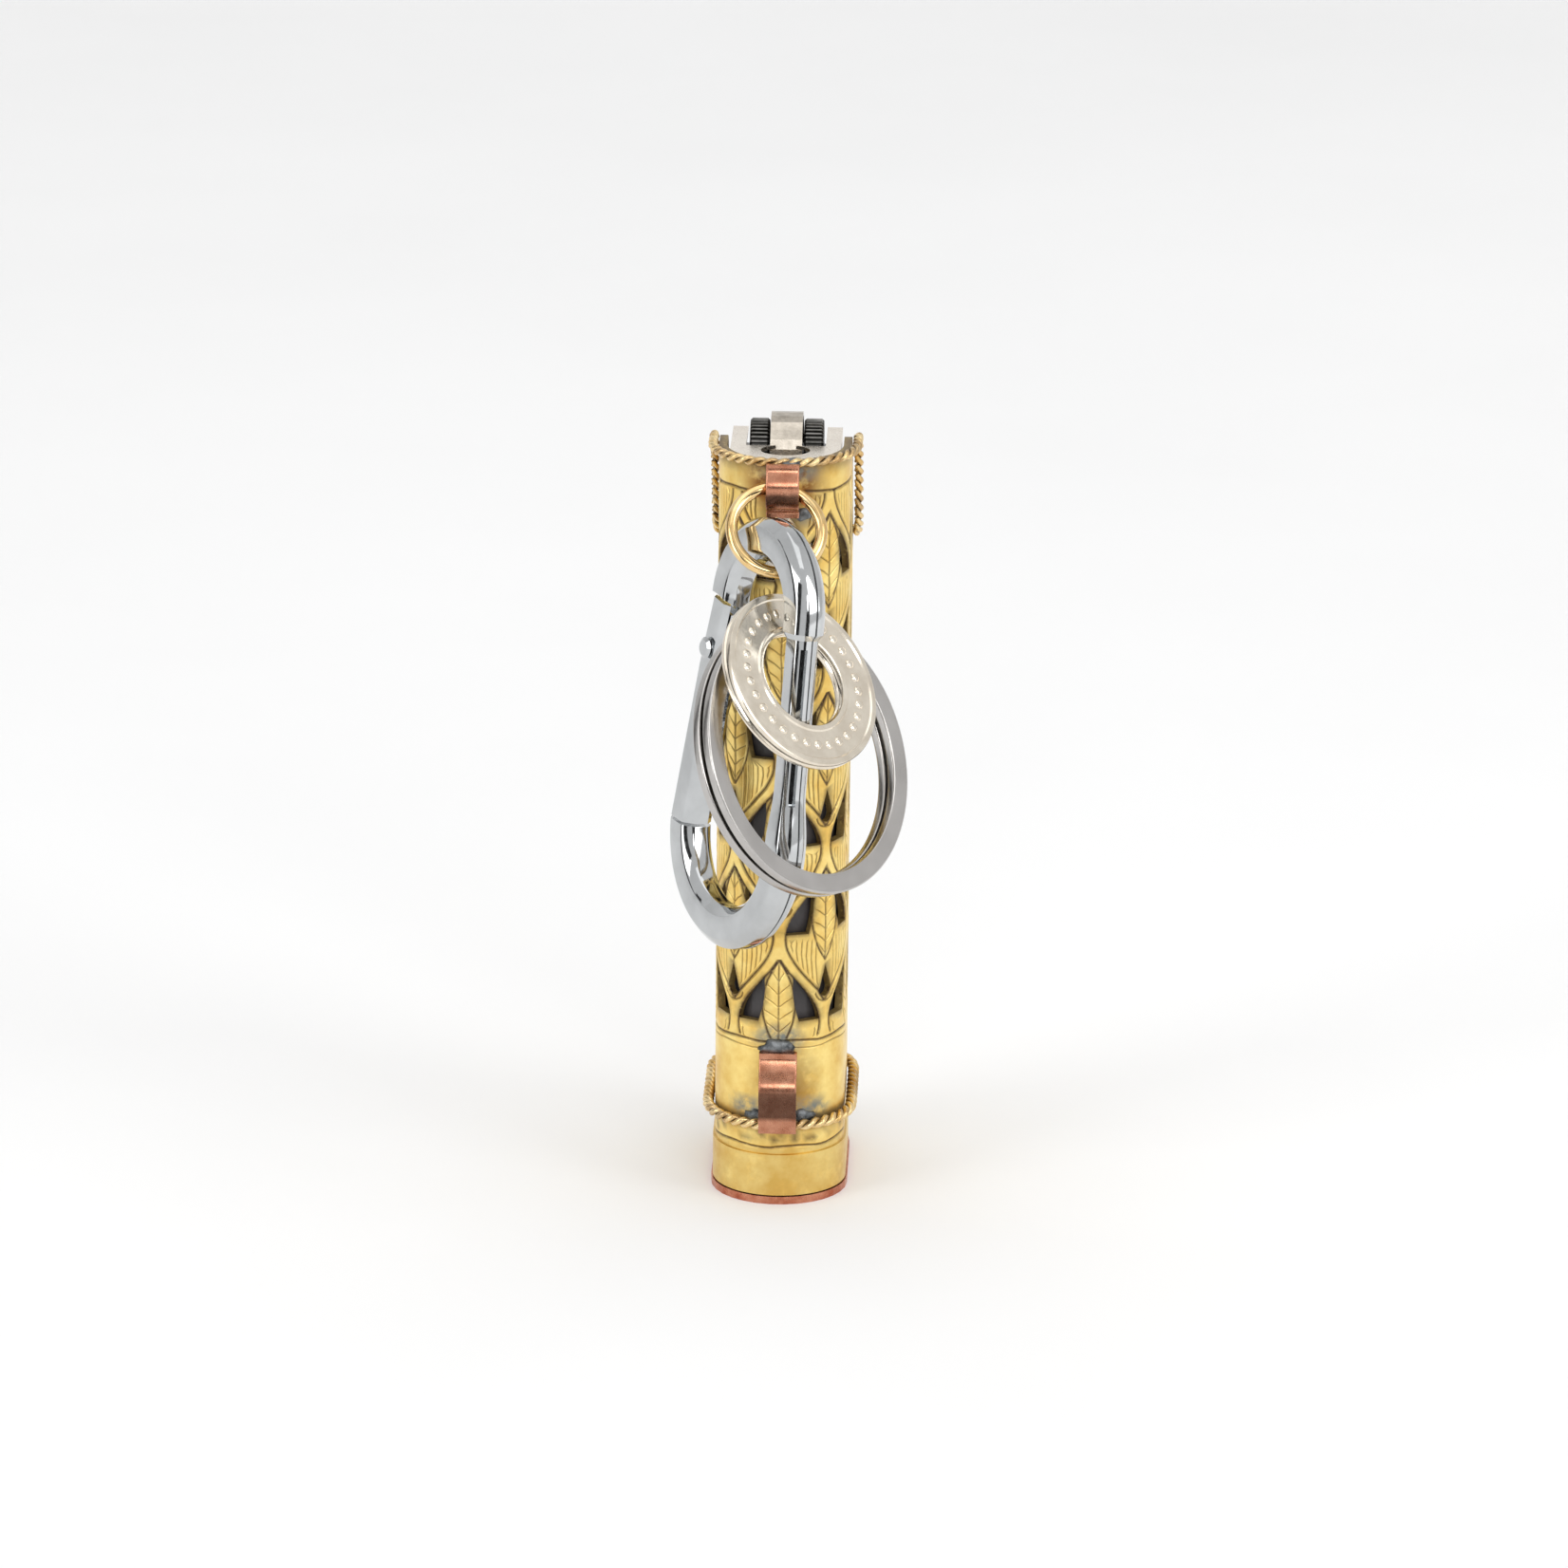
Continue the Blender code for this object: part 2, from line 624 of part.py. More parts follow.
def make_guard():
    """Bright band that arches over the striker between the two knurled wheels."""
    inner = WHEEL_RADIUS + RUNNING_GAP
    outer = inner + GUARD_SHEET
    start = math.radians(178)
    end = math.radians(-28)
    centre = (WHEEL_AXIS_Y, WHEEL_AXIS_Z)
    outline = arc(centre, outer, start, end, GUARD_STEPS) + arc(centre, inner, end, start, GUARD_STEPS)
    add("wheel_guard", moved(plate([outline], GUARD_WIDTH), SIDEWAYS), NICKEL)


def toothed(radius):
    """Outline of a knurled wheel, two points a tooth."""
    points = []
    for tooth in range(WHEEL_TEETH):
        for share, height in ((0, radius), (0.5, radius - TOOTH_DEPTH)):
            angle = 2 * math.pi * (tooth + share) / WHEEL_TEETH
            points.append((height * math.cos(angle), height * math.sin(angle)))
    return points


def make_wheels():
    axle_place = Vector((0, WHEEL_AXIS_Y, WHEEL_AXIS_Z))
    hinge = pivot("spark_wheel_pivot", axle_place)
    bore = circle(AXLE_RADIUS + RUNNING_GAP / 2, 12)
    side = WHEEL_OVERALL / 2 - WHEEL_FACE / 2
    for name, x in (("thumb_wheel_left", -side), ("thumb_wheel_right", side)):
        wheel = add(name, moved(plate([toothed(WHEEL_RADIUS), bore], WHEEL_FACE), SIDEWAYS), WHEEL_STEEL)
        hang(wheel, Matrix.Translation(axle_place + Vector((x, 0, 0))), hinge)
    striker_width = WHEEL_OVERALL - 2 * (WHEEL_FACE + RUNNING_GAP)
    striker = add("striker_wheel", moved(plate([toothed(STRIKER_RADIUS), bore], striker_width), SIDEWAYS),
                  WHEEL_STEEL)
    hang(striker, Matrix.Translation(axle_place), hinge)
    axle = add("wheel_axle", moved(plate([circle(AXLE_RADIUS, 12)], LIGHTER_WIDTH), SIDEWAYS), STEEL)
    axle.location = axle_place


def make_lever(tower_radius):
    """Forked lever: a pad for the thumb behind, two arms past the tower, a fork on the valve."""
    inner = tower_radius + RUNNING_GAP
    outer = inner + LEVER_ARM
    tip = FLAME_HOLE_PLACE - VALVE_RADIUS
    half_slot = VALVE_RADIUS + RUNNING_GAP
    pad = LIGHTER_WIDTH / 2 - HOOD_SHEET - RUNNING_GAP
    pad_front = HOOD_BACK + RUNNING_GAP
    pad_round = pad * 0.8
    back = arc((0, LEVER_BACK - pad_round), pad_round, 0, math.pi, 10)
    fork_back = FLAME_HOLE_PLACE + VALVE_RADIUS + LEVER_ARM
    outline = ([(outer, tip), (outer, pad_front), (pad, pad_front), (pad, pad_front + LEVER_ARM)] + back +
               [(-pad, pad_front + LEVER_ARM), (-pad, pad_front), (-outer, pad_front), (-outer, tip),
                (-half_slot, tip), (-half_slot, fork_back - LEVER_ARM / 2), (-inner, fork_back),
                (-inner, pad_front), (inner, pad_front), (inner, fork_back),
                (half_slot, fork_back - LEVER_ARM / 2), (half_slot, tip)])
    lever = add("gas_lever", plate([outline], LEVER_SHEET), LEVER_PLASTIC)
    for name, low in (("left_boss", -outer), ("right_boss", inner)):
        boss = moved(plate([circle(LEVER_BOSS, 14)], LEVER_ARM - 2 * SOLDER_FILM), SIDEWAYS)
        boss = cutter(name, moved(boss, Matrix.Translation((low + LEVER_ARM / 2, WHEEL_AXIS_Y, 0))))
        boolean(lever, boss, "UNION", "MANIFOLD")
        boss.parent = lever
    bore = moved(plate([circle(LEVER_PIN + RUNNING_GAP, 12)], 2 * CASE_WIDTH), SIDEWAYS)
    hole = cutter("lever_bore", moved(bore, Matrix.Translation((0, WHEEL_AXIS_Y, 0))))
    boolean(lever, hole, solver="MANIFOLD")
    hole.parent = lever
    hinge = pivot("gas_lever_pivot", Vector((0, WHEEL_AXIS_Y, LEVER_HEIGHT)))
    hang(lever, Matrix.Translation((0, 0, LEVER_HEIGHT)), hinge)


def make_lighter():
    tower_radius, tower_top = make_tank()
    make_hood()
    make_guard()
    make_wheels()
    make_lever(tower_radius)
    bore_floor = tower_top - FLINT_BORE_DEPTH
    flint_top = WHEEL_AXIS_Z - STRIKER_RADIUS - RUNNING_GAP
    flint = plate([circle(FLINT_RADIUS, 12, (0, WHEEL_AXIS_Y))], FLINT_LENGTH, flint_top - FLINT_LENGTH)
    add("flint", flint, WHEEL_STEEL)
    spring_foot = bore_floor + RUNNING_GAP
    spring_top = flint_top - FLINT_LENGTH - RUNNING_GAP
    spring = coil("flint_spring", FLINT_RADIUS - FLINT_SPRING_WIRE / 2, FLINT_SPRING_WIRE,
                  FLINT_SPRING_TURNS, spring_foot, spring_top, STEEL)
    spring.location.y = WHEEL_AXIS_Y
    foot = TANK_TOP - TANK_NECK / 2 + RUNNING_GAP
    waist = LEVER_HEIGHT - LEVER_SHEET / 2 - RUNNING_GAP
    collar = LEVER_HEIGHT + LEVER_SHEET / 2 + RUNNING_GAP
    shoulder = collar + LEVER_SHEET
    valve = turned([(0, VALVE_TOP), (VALVE_RADIUS * 0.6, VALVE_TOP), (VALVE_RADIUS * 0.8, shoulder),
                    (VALVE_COLLAR, shoulder), (VALVE_COLLAR, collar), (VALVE_RADIUS, collar),
                    (VALVE_RADIUS, waist), (VALVE_COLLAR, waist), (VALVE_COLLAR, foot), (0, foot)], 14)
    valve = add("jet_valve", valve, BRASS)
    slide = pivot("jet_valve_pivot", Vector((0, FLAME_HOLE_PLACE, LEVER_HEIGHT)))
    hang(valve, Matrix.Translation((0, FLAME_HOLE_PLACE, 0)), slide)


def ring_hinge():
    """Where the jump ring's wire lies in the upper strap."""
    out = -CASE_DEPTH / 2 - RING_WIRE / 2 - RUNNING_GAP - SOLDER_FILM
    return Vector((RING_ASIDE, out, RIM_HIGH - UPPER_STRAP_DROP / 2))


def make_jump_ring():
    """Round wire bent to a ring, its cut low on the right. Returns the link at its foot."""
    radius = (RING_OUTER - RING_WIRE) / 2
    down = Vector((0, -math.sin(RING_LEAN), -math.cos(RING_LEAN)))
    centre = ring_hinge() + down * radius
    side = Matrix.Rotation(-RING_TURN, 3, down) @ Vector((1, 0, 0))
    turn = 2 * math.pi - RING_CUT
    points = []
    for index in range(RING_STEPS + 1):
        angle = RING_CUT_PLACE + RING_CUT / 2 + turn * index / RING_STEPS
        points.append(side * radius * math.sin(angle) + down * radius * math.cos(angle))
    ring = add("jump_ring", round_wire("jump_ring", points, RING_WIRE / 2), RING_BRASS)
    hinge = pivot("jump_ring_pivot", ring_hinge())
    hang(ring, Matrix.Translation(centre), hinge)
    swing = math.asin(HOOK_PLACE / radius)
    link = centre + side * radius * math.sin(swing) + down * radius * math.cos(swing)
    return hinge, link


def bar_section(across, thick, chamfer):
    a, t = across / 2, thick / 2
    return [(a, t - chamfer), (a - chamfer, t), (chamfer - a, t), (-a, t - chamfer),
            (-a, chamfer - t), (chamfer - a, -t), (a - chamfer, -t), (a, chamfer - t)]


def hook_foot_height():
    """Height of the lower bend's centre under the inside of the upper bend."""
    return 1.5 * BAR_ACROSS - HOOK_LENGTH + HOOK_BOTTOM_RADIUS


def hook_path():
    """Middle line of the hook's bar from the arm by the gate over the top to the nose,
    with the bar's size at each point: full round the bends and waisted along the spine."""
    top_centre = (HOOK_SPINE_TOP - HOOK_TOP_RADIUS, BAR_ACROSS / 2 - HOOK_TOP_RADIUS)
    foot_centre = (HOOK_SPINE_FOOT - HOOK_BOTTOM_RADIUS, hook_foot_height())
    top = arc(top_centre, HOOK_TOP_RADIUS, math.pi, 0, HOOK_ARC_STEPS)
    foot = arc(foot_centre, HOOK_BOTTOM_RADIUS, 0, -math.pi, HOOK_ARC_STEPS)
    nose = foot[-1]
    lean = (HOOK_SPINE_TOP - HOOK_SPINE_FOOT) / (top_centre[1] - foot_centre[1])
    steps_down = (SHOULDER_FROM - 0.0015, SHOULDER_TO, WAIST_END)
    spine = [(HOOK_SPINE_TOP - lean * (top_centre[1] - v), v) for v in steps_down]
    arm = [(top[0][0] + (GATE_PIVOT.x - top[0][0]) * 0.4, top[0][1] + (GATE_PIVOT.y - top[0][1]) * 0.4)]
    points = arm + top + spine + foot + [(nose[0] + 0.0004, nose[1] + 0.0030)]
    radii = [1] * (len(arm) + len(top)) + [1, WAIST, WAIST] + [1] * (len(foot) + 1)
    return points, radii


def swept_sector(radius, half_angle, thickness):
    """A slice of a disc about the gate's pivot, towards the gate's foot."""
    foot = gate_foot_direction()
    middle = math.atan2(foot.y, foot.x)
    outline = arc(GATE_PIVOT, radius, middle - half_angle, middle + half_angle, 16)
    inner = arc(GATE_PIVOT, radius * 0.70, middle + half_angle, middle - half_angle, 4)
    return plate([outline + inner], thickness)


def gate_foot_direction():
    nose = Vector((HOOK_SPINE_FOOT - 2 * HOOK_BOTTOM_RADIUS, hook_foot_height()))
    return (nose - GATE_PIVOT).normalized()


def make_hook(ring_pivot, link):
    """Cast frame with a tongue for the gate, the channelled gate, its rivet and spring."""
    across = HOOK_UP.cross(HOOK_FACE).normalized()
    crown = HOOK_SPINE_TOP - HOOK_TOP_RADIUS
    place = link + HOOK_UP * (RING_WIRE / 2 + LINK_GAP) - across * crown
    stand = axes(across, HOOK_UP, HOOK_FACE, place)
    hook_pivot = pivot("snap_hook_pivot", link, ring_pivot)

    points, radii = hook_path()
    section = bar_section(BAR_ACROSS, BAR_THICK, BAR_CHAMFER)
    frame = add("hook_frame", swept("hook_bar", points, section, radii=radii, twist="Z_UP"), CHROME)
    clear = circle(math.hypot(GATE_HEAD, GATE_WIDTH_TOP / 2) + RUNNING_GAP, 48, GATE_PIVOT)
    deep = 3 * BAR_THICK
    head_room = cutter("gate_head_room", plate([clear], deep))
    foot_room = cutter("gate_foot_room", swept_sector(GATE_LENGTH + RUNNING_GAP, math.radians(14), deep))
    arm_top = Vector(points[1])
    lean = (arm_top - GATE_PIVOT).normalized()
    aside = Vector((-lean.y, lean.x)) * TONGUE_WIDTH / 2
    base = arm_top + lean * 0.0012
    start = math.atan2(aside.y, aside.x)
    round_end = arc(GATE_PIVOT, TONGUE_WIDTH / 2, start, start + math.pi, 10)
    tongue_outline = [tuple(base - aside), tuple(base + aside)] + round_end
    tongue_thick = GATE_SLOT - 2 * RUNNING_GAP
    tongue = cutter("tongue", plate([tongue_outline], tongue_thick))
    rivet_bore = cutter("rivet_bore", plate([circle(RIVET_RADIUS + RUNNING_GAP / 2, 14, GATE_PIVOT)], deep))
    boolean(frame, head_room)
    boolean(frame, foot_room)
    boolean(frame, tongue, "UNION")
    boolean(frame, rivet_bore)
    hang(frame, stand, hook_pivot)
    for tool in (head_room, foot_room, tongue, rivet_bore):
        hang(tool, stand, hook_pivot)

    head_high = BAR_THICK / 2 + RIVET_HEAD_HEIGHT
    head_low = BAR_THICK / 2 + SOLDER_FILM
    rivet = turned([(0, head_high), (RIVET_HEAD * 0.7, head_high), (RIVET_HEAD, head_low),
                    (RIVET_RADIUS, head_low), (RIVET_RADIUS, -head_low),
                    (RIVET_HEAD, -head_low), (RIVET_HEAD * 0.7, -head_high), (0, -head_high)], 16)
    rivet = add("gate_rivet", moved(rivet, Matrix.Translation(GATE_PIVOT.to_3d())), CHROME)
    hang(rivet, stand, hook_pivot)
    make_gate(stand, hook_pivot, lean)
    return stand, hook_pivot


def make_gate(stand, hook_pivot, lean):
    """Tapered bar on the rivet, forked round the tongue, with a round foot that meets the nose."""
    foot = gate_foot_direction()
    aside = Vector((-foot.y, foot.x))
    top = GATE_PIVOT + lean * GATE_HEAD
    elbow = GATE_PIVOT + foot * 0.002
    low = GATE_PIVOT + foot * (GATE_LENGTH + 0.002)
    path = [tuple(top), tuple(elbow), tuple(low)]
    section = bar_section(GATE_WIDTH_FOOT, BAR_THICK, BAR_CHAMFER)
    slim = GATE_WIDTH_TOP / GATE_WIDTH_FOOT
    gate = add("gate", swept("gate_bar", path, section, radii=[slim, slim, 1.0], twist="Z_UP"), CHROME)
    hinge = pivot("gate_pivot", stand @ GATE_PIVOT.to_3d(), hook_pivot)
    hang(gate, stand, hinge)
    deep = 3 * BAR_THICK
    reach = plate([circle(GATE_LENGTH, 96, GATE_PIVOT)], deep)
    fork_end = GATE_PIVOT + foot * GATE_FORK_DEPTH
    slot_end = GATE_PIVOT + foot * GATE_SLOT_DEPTH
    past = top + lean * GATE_HEAD
    wide = aside * GATE_WIDTH_FOOT
    fork = plate([[tuple(past - wide), tuple(fork_end - wide), tuple(fork_end + wide), tuple(past + wide)]],
                 GATE_SLOT)
    wall = -aside * (GATE_WIDTH_FOOT / 2 - GATE_WALL)
    inward = wall if (GATE_PIVOT + wall).x < GATE_PIVOT.x else -wall
    open_side = -inward.normalized() * GATE_WIDTH_FOOT
    channel = plate([[tuple(GATE_PIVOT + inward), tuple(slot_end + inward),
                      tuple(slot_end + open_side), tuple(GATE_PIVOT + open_side)]], GATE_SLOT)
    bore = plate([circle(RIVET_RADIUS + RUNNING_GAP / 2, 14, GATE_PIVOT)], deep)
    trim = cutter("gate_reach", reach)
    boolean(gate, trim, "INTERSECT")
    tools = [trim]
    for name, mesh in (("gate_fork", fork), ("gate_channel", channel), ("gate_bore", bore)):
        tool = cutter(name, mesh)
        boolean(gate, tool)
        tools.append(tool)
    for tool in tools:
        hang(tool, stand, hinge)

    low = GATE_PIVOT + foot * (TONGUE_WIDTH / 2 + RUNNING_GAP)
    high = GATE_PIVOT + foot * (GATE_SLOT_DEPTH - RUNNING_GAP)
    spring = coil("gate_spring", GATE_SPRING_RADIUS, GATE_SPRING_WIRE, GATE_SPRING_TURNS,
                  0, (high - low).length, STEEL)
    along = axes(Vector((0, 0, 1)).cross(foot.to_3d()), Vector((0, 0, 1)), foot.to_3d(), low.to_3d())
    hang(spring, stand @ along, hinge)


def make_split_ring(stand, hook_pivot):
    """Two turns of flat wire with a step between them."""
    radius = (SPLIT_OUTER - SPLIT_FLAT) / 2
    start = SPLIT_END_GAP
    end = 4 * math.pi - SPLIT_END_GAP
    count = round(SPLIT_STEPS * (end - start) / (2 * math.pi))
    points = []
    for index in range(count + 1):
        angle = start + (end - start) * index / count
        share = min(max((angle - 2 * math.pi) / SPLIT_RAMP + 0.5, 0), 1)
        rise = SPLIT_PITCH * (share - 0.5)
        points.append(Vector((radius * math.sin(angle), radius * math.cos(angle), rise)))
    print("split_ring least gap to itself", round((SPLIT_PITCH - SPLIT_SHEET) * 1000, 3), "mm")
    section = bar_section(SPLIT_FLAT, SPLIT_SHEET, SPLIT_SHEET * 0.2)
    ring = add("split_ring", swept("split_ring", points, section, twist="Z_UP"), RING_STEEL)
    spine = stand @ Vector(((HOOK_SPINE_TOP + HOOK_SPINE_FOOT) / 2, (SHOULDER_TO + WAIST_END) / 2, 0))
    hinge = pivot("split_ring_pivot", spine, hook_pivot)
    hang(ring, plane_axes(stand.to_3x3() @ SPLIT_FACE, stand @ SPLIT_PLACE), hinge)
    return hinge


def make_tag(hook_stand, split_pivot):
    """Front and back faces of the tag, each a stamped washer with rolled edges."""
    hinge = pivot("tag_pivot", hook_stand @ TAG_PLACE, split_pivot)
    stand = plane_axes(hook_stand.to_3x3() @ TAG_FACE, hook_stand @ TAG_PLACE)
    outer = TAG_OUTER / 2
    inner = TAG_BORE / 2
    roll = TAG_SHEET * 0.45
    film = SOLDER_FILM / 2
    profile = [(outer - roll, film + TAG_SHEET), (outer - roll * 0.3, film + TAG_SHEET - roll * 0.3),
               (outer, film + TAG_SHEET - roll), (outer, film + roll * 0.5), (outer - roll * 0.5, film),
               (inner + roll * 0.5, film), (inner, film + roll * 0.5), (inner, film + TAG_SHEET - roll),
               (inner + roll, film + TAG_SHEET), (outer - roll, film + TAG_SHEET)]
    front = add("tag_front", turned(profile, TAG_STEPS), TAG_NICKEL)
    hang(front, stand, hinge)
    back = add("tag_back", turned(profile, TAG_STEPS), TAG_NICKEL)
    hang(back, stand @ Matrix.Rotation(math.pi, 4, "Y"), hinge)


for old in list(bpy.data.objects):
    bpy.data.objects.remove(old)

# A plate drawn in (y, z) stands up across X, and a disc drawn flat turns to face along X.
SIDEWAYS = Matrix(((0, 0, 1, 0), (1, 0, 0, 0), (0, 1, 0, 0), (0, 0, 0, 1)))
WORLD = {}
PARTS = collection("lighter_case_keyring")
CUTTERS = collection("cutters")
GUIDES = collection("guides")

BRASS = metal("Brass", (0.72, 0.50, 0.14), 0.32)
RING_BRASS = metal("Polished brass wire", (0.75, 0.50, 0.20), 0.15)
COPPER = metal("Copper", (0.50, 0.20, 0.12), 0.38)
CHROME = metal("Chrome plate", (0.62, 0.65, 0.68), 0.10)
RING_STEEL = metal("Satin nickel wire", (0.50, 0.49, 0.48), 0.30)
TAG_NICKEL = metal("Stamped nickel", (0.66, 0.62, 0.56), 0.28)
NICKEL = metal("Pressed nickel", (0.60, 0.57, 0.52), 0.25)
STEEL = metal("Drawn steel", (0.45, 0.45, 0.46), 0.30)
WHEEL_STEEL = metal("Dark spark-wheel steel", (0.08, 0.08, 0.07), 0.45)
TANK_PLASTIC = metal("Black moulded plastic", (0.02, 0.02, 0.022), 0.18, 0.0)
LEVER_PLASTIC = metal("Black lever plastic", (0.03, 0.03, 0.03), 0.35, 0.0)

make_case()
make_lighter()
JUMP_RING_PIVOT, RING_LINK = make_jump_ring()
HOOK_STAND, HOOK_PIVOT = make_hook(JUMP_RING_PIVOT, RING_LINK)
SPLIT_RING_PIVOT = make_split_ring(HOOK_STAND, HOOK_PIVOT)
make_tag(HOOK_STAND, SPLIT_RING_PIVOT)

for guide in list(GUIDES.objects):
    bpy.data.objects.remove(guide)
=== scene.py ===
"""A pierced brass lighter case that hangs from a snap hook, with a split ring and a tag."""
import json
import math

import bmesh
import bpy
import numpy as np
from mathutils import Matrix, Vector, geometry, kdtree, noise


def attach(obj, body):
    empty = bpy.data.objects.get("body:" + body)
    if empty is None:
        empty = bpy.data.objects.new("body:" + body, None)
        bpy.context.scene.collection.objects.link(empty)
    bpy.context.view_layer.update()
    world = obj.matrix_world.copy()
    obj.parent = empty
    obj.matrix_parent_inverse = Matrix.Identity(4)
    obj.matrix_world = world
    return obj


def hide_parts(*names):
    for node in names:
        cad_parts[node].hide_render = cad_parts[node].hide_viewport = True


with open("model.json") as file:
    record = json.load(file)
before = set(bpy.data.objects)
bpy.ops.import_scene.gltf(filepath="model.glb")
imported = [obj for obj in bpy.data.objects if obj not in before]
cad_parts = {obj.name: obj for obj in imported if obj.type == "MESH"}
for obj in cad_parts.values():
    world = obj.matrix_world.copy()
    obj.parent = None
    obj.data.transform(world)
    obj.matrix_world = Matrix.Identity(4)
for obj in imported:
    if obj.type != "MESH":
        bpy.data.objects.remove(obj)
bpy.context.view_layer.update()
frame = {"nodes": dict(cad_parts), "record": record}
nodes = frame["nodes"]


# Camera: a long lens in front of the case's narrow end and a little above it, rolled slightly
# as the photograph is.
aim = Vector((0, 0, 0.0413))
distance = 0.800
azimuth = math.radians(1.7)
elevation = math.radians(17.5)
roll = math.radians(0.5)
away = Vector((math.sin(azimuth) * math.cos(elevation),
               -math.cos(azimuth) * math.cos(elevation),
               math.sin(elevation)))
camera_data = bpy.data.cameras.new("camera")
camera_data.lens = 179.7
camera_data.sensor_width = 36
camera = bpy.data.objects.new("camera", camera_data)
bpy.context.scene.collection.objects.link(camera)
bpy.context.scene.camera = camera
camera.location = aim + away * distance
camera.rotation_mode = "QUATERNION"
camera.rotation_quaternion = away.to_track_quat("Z", "Y")
camera.rotation_quaternion @= Matrix.Rotation(roll, 3, "Z").to_quaternion()
bpy.context.scene.view_settings.view_transform = "Standard"


# Sleeve: a sheet of brass, engraved and sawn through while flat, then bent to an oval round the
# lighter and soldered behind. Its edge sweeps down behind for the thumb, and a plain band is
# left at its foot. All of it is drawn in millimetres.
WIDTH = 13.3
DEPTH = 23.5
WALL = 0.8
RADIUS = WIDTH / 2
STRAIGHT = DEPTH - WIDTH
QUARTER = math.pi * RADIUS / 2
AROUND = 4 * QUARTER + 2 * STRAIGHT
SEAM = AROUND / 2
SHEET_FOOT = 0.9
BAND_TOP = 5.3
BAND_PROUD = 0.2
RIM_HIGH = 78.6
RIM_DROP = 12.4
RIM_DROP_FROM = -2.0
RIM_DROP_TO = 7.5
FOOT_WIRE_HEIGHT = 8.7
CUT_DEPTH = 0.16


def eased(low, high, value):
    """A soft step from 0 to 1 as a value goes from low to high."""
    share = min(max((value - low) / (high - low), 0), 1)
    return share * share * (3 - 2 * share)


def oval(distance, out=0.0):
    """Point and outward direction on the case's outline, so far round from its near end."""
    side = 1 if distance >= 0 else -1
    run = abs(distance)
    if run < QUARTER:
        centre = Vector((0, -STRAIGHT / 2, 0))
        normal = Vector((side * math.sin(run / RADIUS), -math.cos(run / RADIUS), 0))
    elif run < QUARTER + STRAIGHT:
        centre = Vector((0, run - QUARTER - STRAIGHT / 2, 0))
        normal = Vector((side, 0, 0))
    else:
        turn = (run - QUARTER - STRAIGHT) / RADIUS
        centre = Vector((0, STRAIGHT / 2, 0))
        normal = Vector((side * math.cos(turn), math.sin(turn), 0))
    return centre + normal * (RADIUS + out), normal


def edge_height(y):
    """Height of the sleeve's edge at a depth: level in front, swept down behind."""
    return RIM_HIGH - RIM_DROP * eased(RIM_DROP_FROM, RIM_DROP_TO, y)


def on_sheet(distance):
    """A distance round the case, held between the two sides of the seam."""
    return min(max(distance, -SEAM), SEAM)


def rim(distance):
    """Height of the sleeve's edge, so far round from its near end."""
    return edge_height(oval(on_sheet(distance))[0].y)


# The lattice: rows of cells, each row half a cell aside of the last. Two stems swing in and out
# round a leaf in each cell, and an oval eye stands above them at the near end.
COLUMN = AROUND / 6
CELL = 18.6
LATTICE_FOOT = 19.2
WINDOW_TO_FOOT = -1.3
WINDOW_TO_RIM = 2.6
WINDOW_TO_EYE = 1.3
LINE_TO_FOOT = -1.6
LINE_TO_RIM = 3.4
LINE_TO_EYE = (2.3, 3.9)
LEAST_LINE = 1.6
HALF_STEM = 0.65
EYE_HEIGHT = 69.7
EYE_HALF_WIDTH = 1.8
EYE_HALF_TALL = 3.3
STEM_CUT = 0.25
LEAF_CUT = 0.20
VEIN_CUT = 0.16
HATCH_CUT = 0.12


def stem(z):
    """How far the middle of a stem is from the middle of its cell, at a height from there."""
    return COLUMN / 4 * (1 + math.cos(2 * math.pi * z / CELL))


def cell_windows():
    """The two horns and the drop that are sawn out of a cell."""
    horn_foot = 0.4
    horn_tall = 4.8
    horn_tip = horn_foot + horn_tall
    horn_inner = 2.1
    drop_radius = 0.8
    drop_middle = -5.8
    drop_point = -3.2
    tip = stem(horn_tip) - HALF_STEM
    rise = [horn_foot + horn_tall * i / 8 for i in range(9)]
    horn = [(stem(z) - HALF_STEM, z) for z in rise]
    horn += [(tip + (horn_inner - tip) * i / 6 - 0.25 * math.sin(math.pi * i / 6),
              horn_tip - horn_tall * i / 6) for i in range(1, 7)]
    turn = [math.radians(-205 + 230 * i / 12) for i in range(13)]
    drop = [(drop_radius * math.cos(a), drop_middle + drop_radius * math.sin(a)) for a in turn]
    return [horn, [(-x, z) for x, z in horn], drop + [(0, drop_point)]]


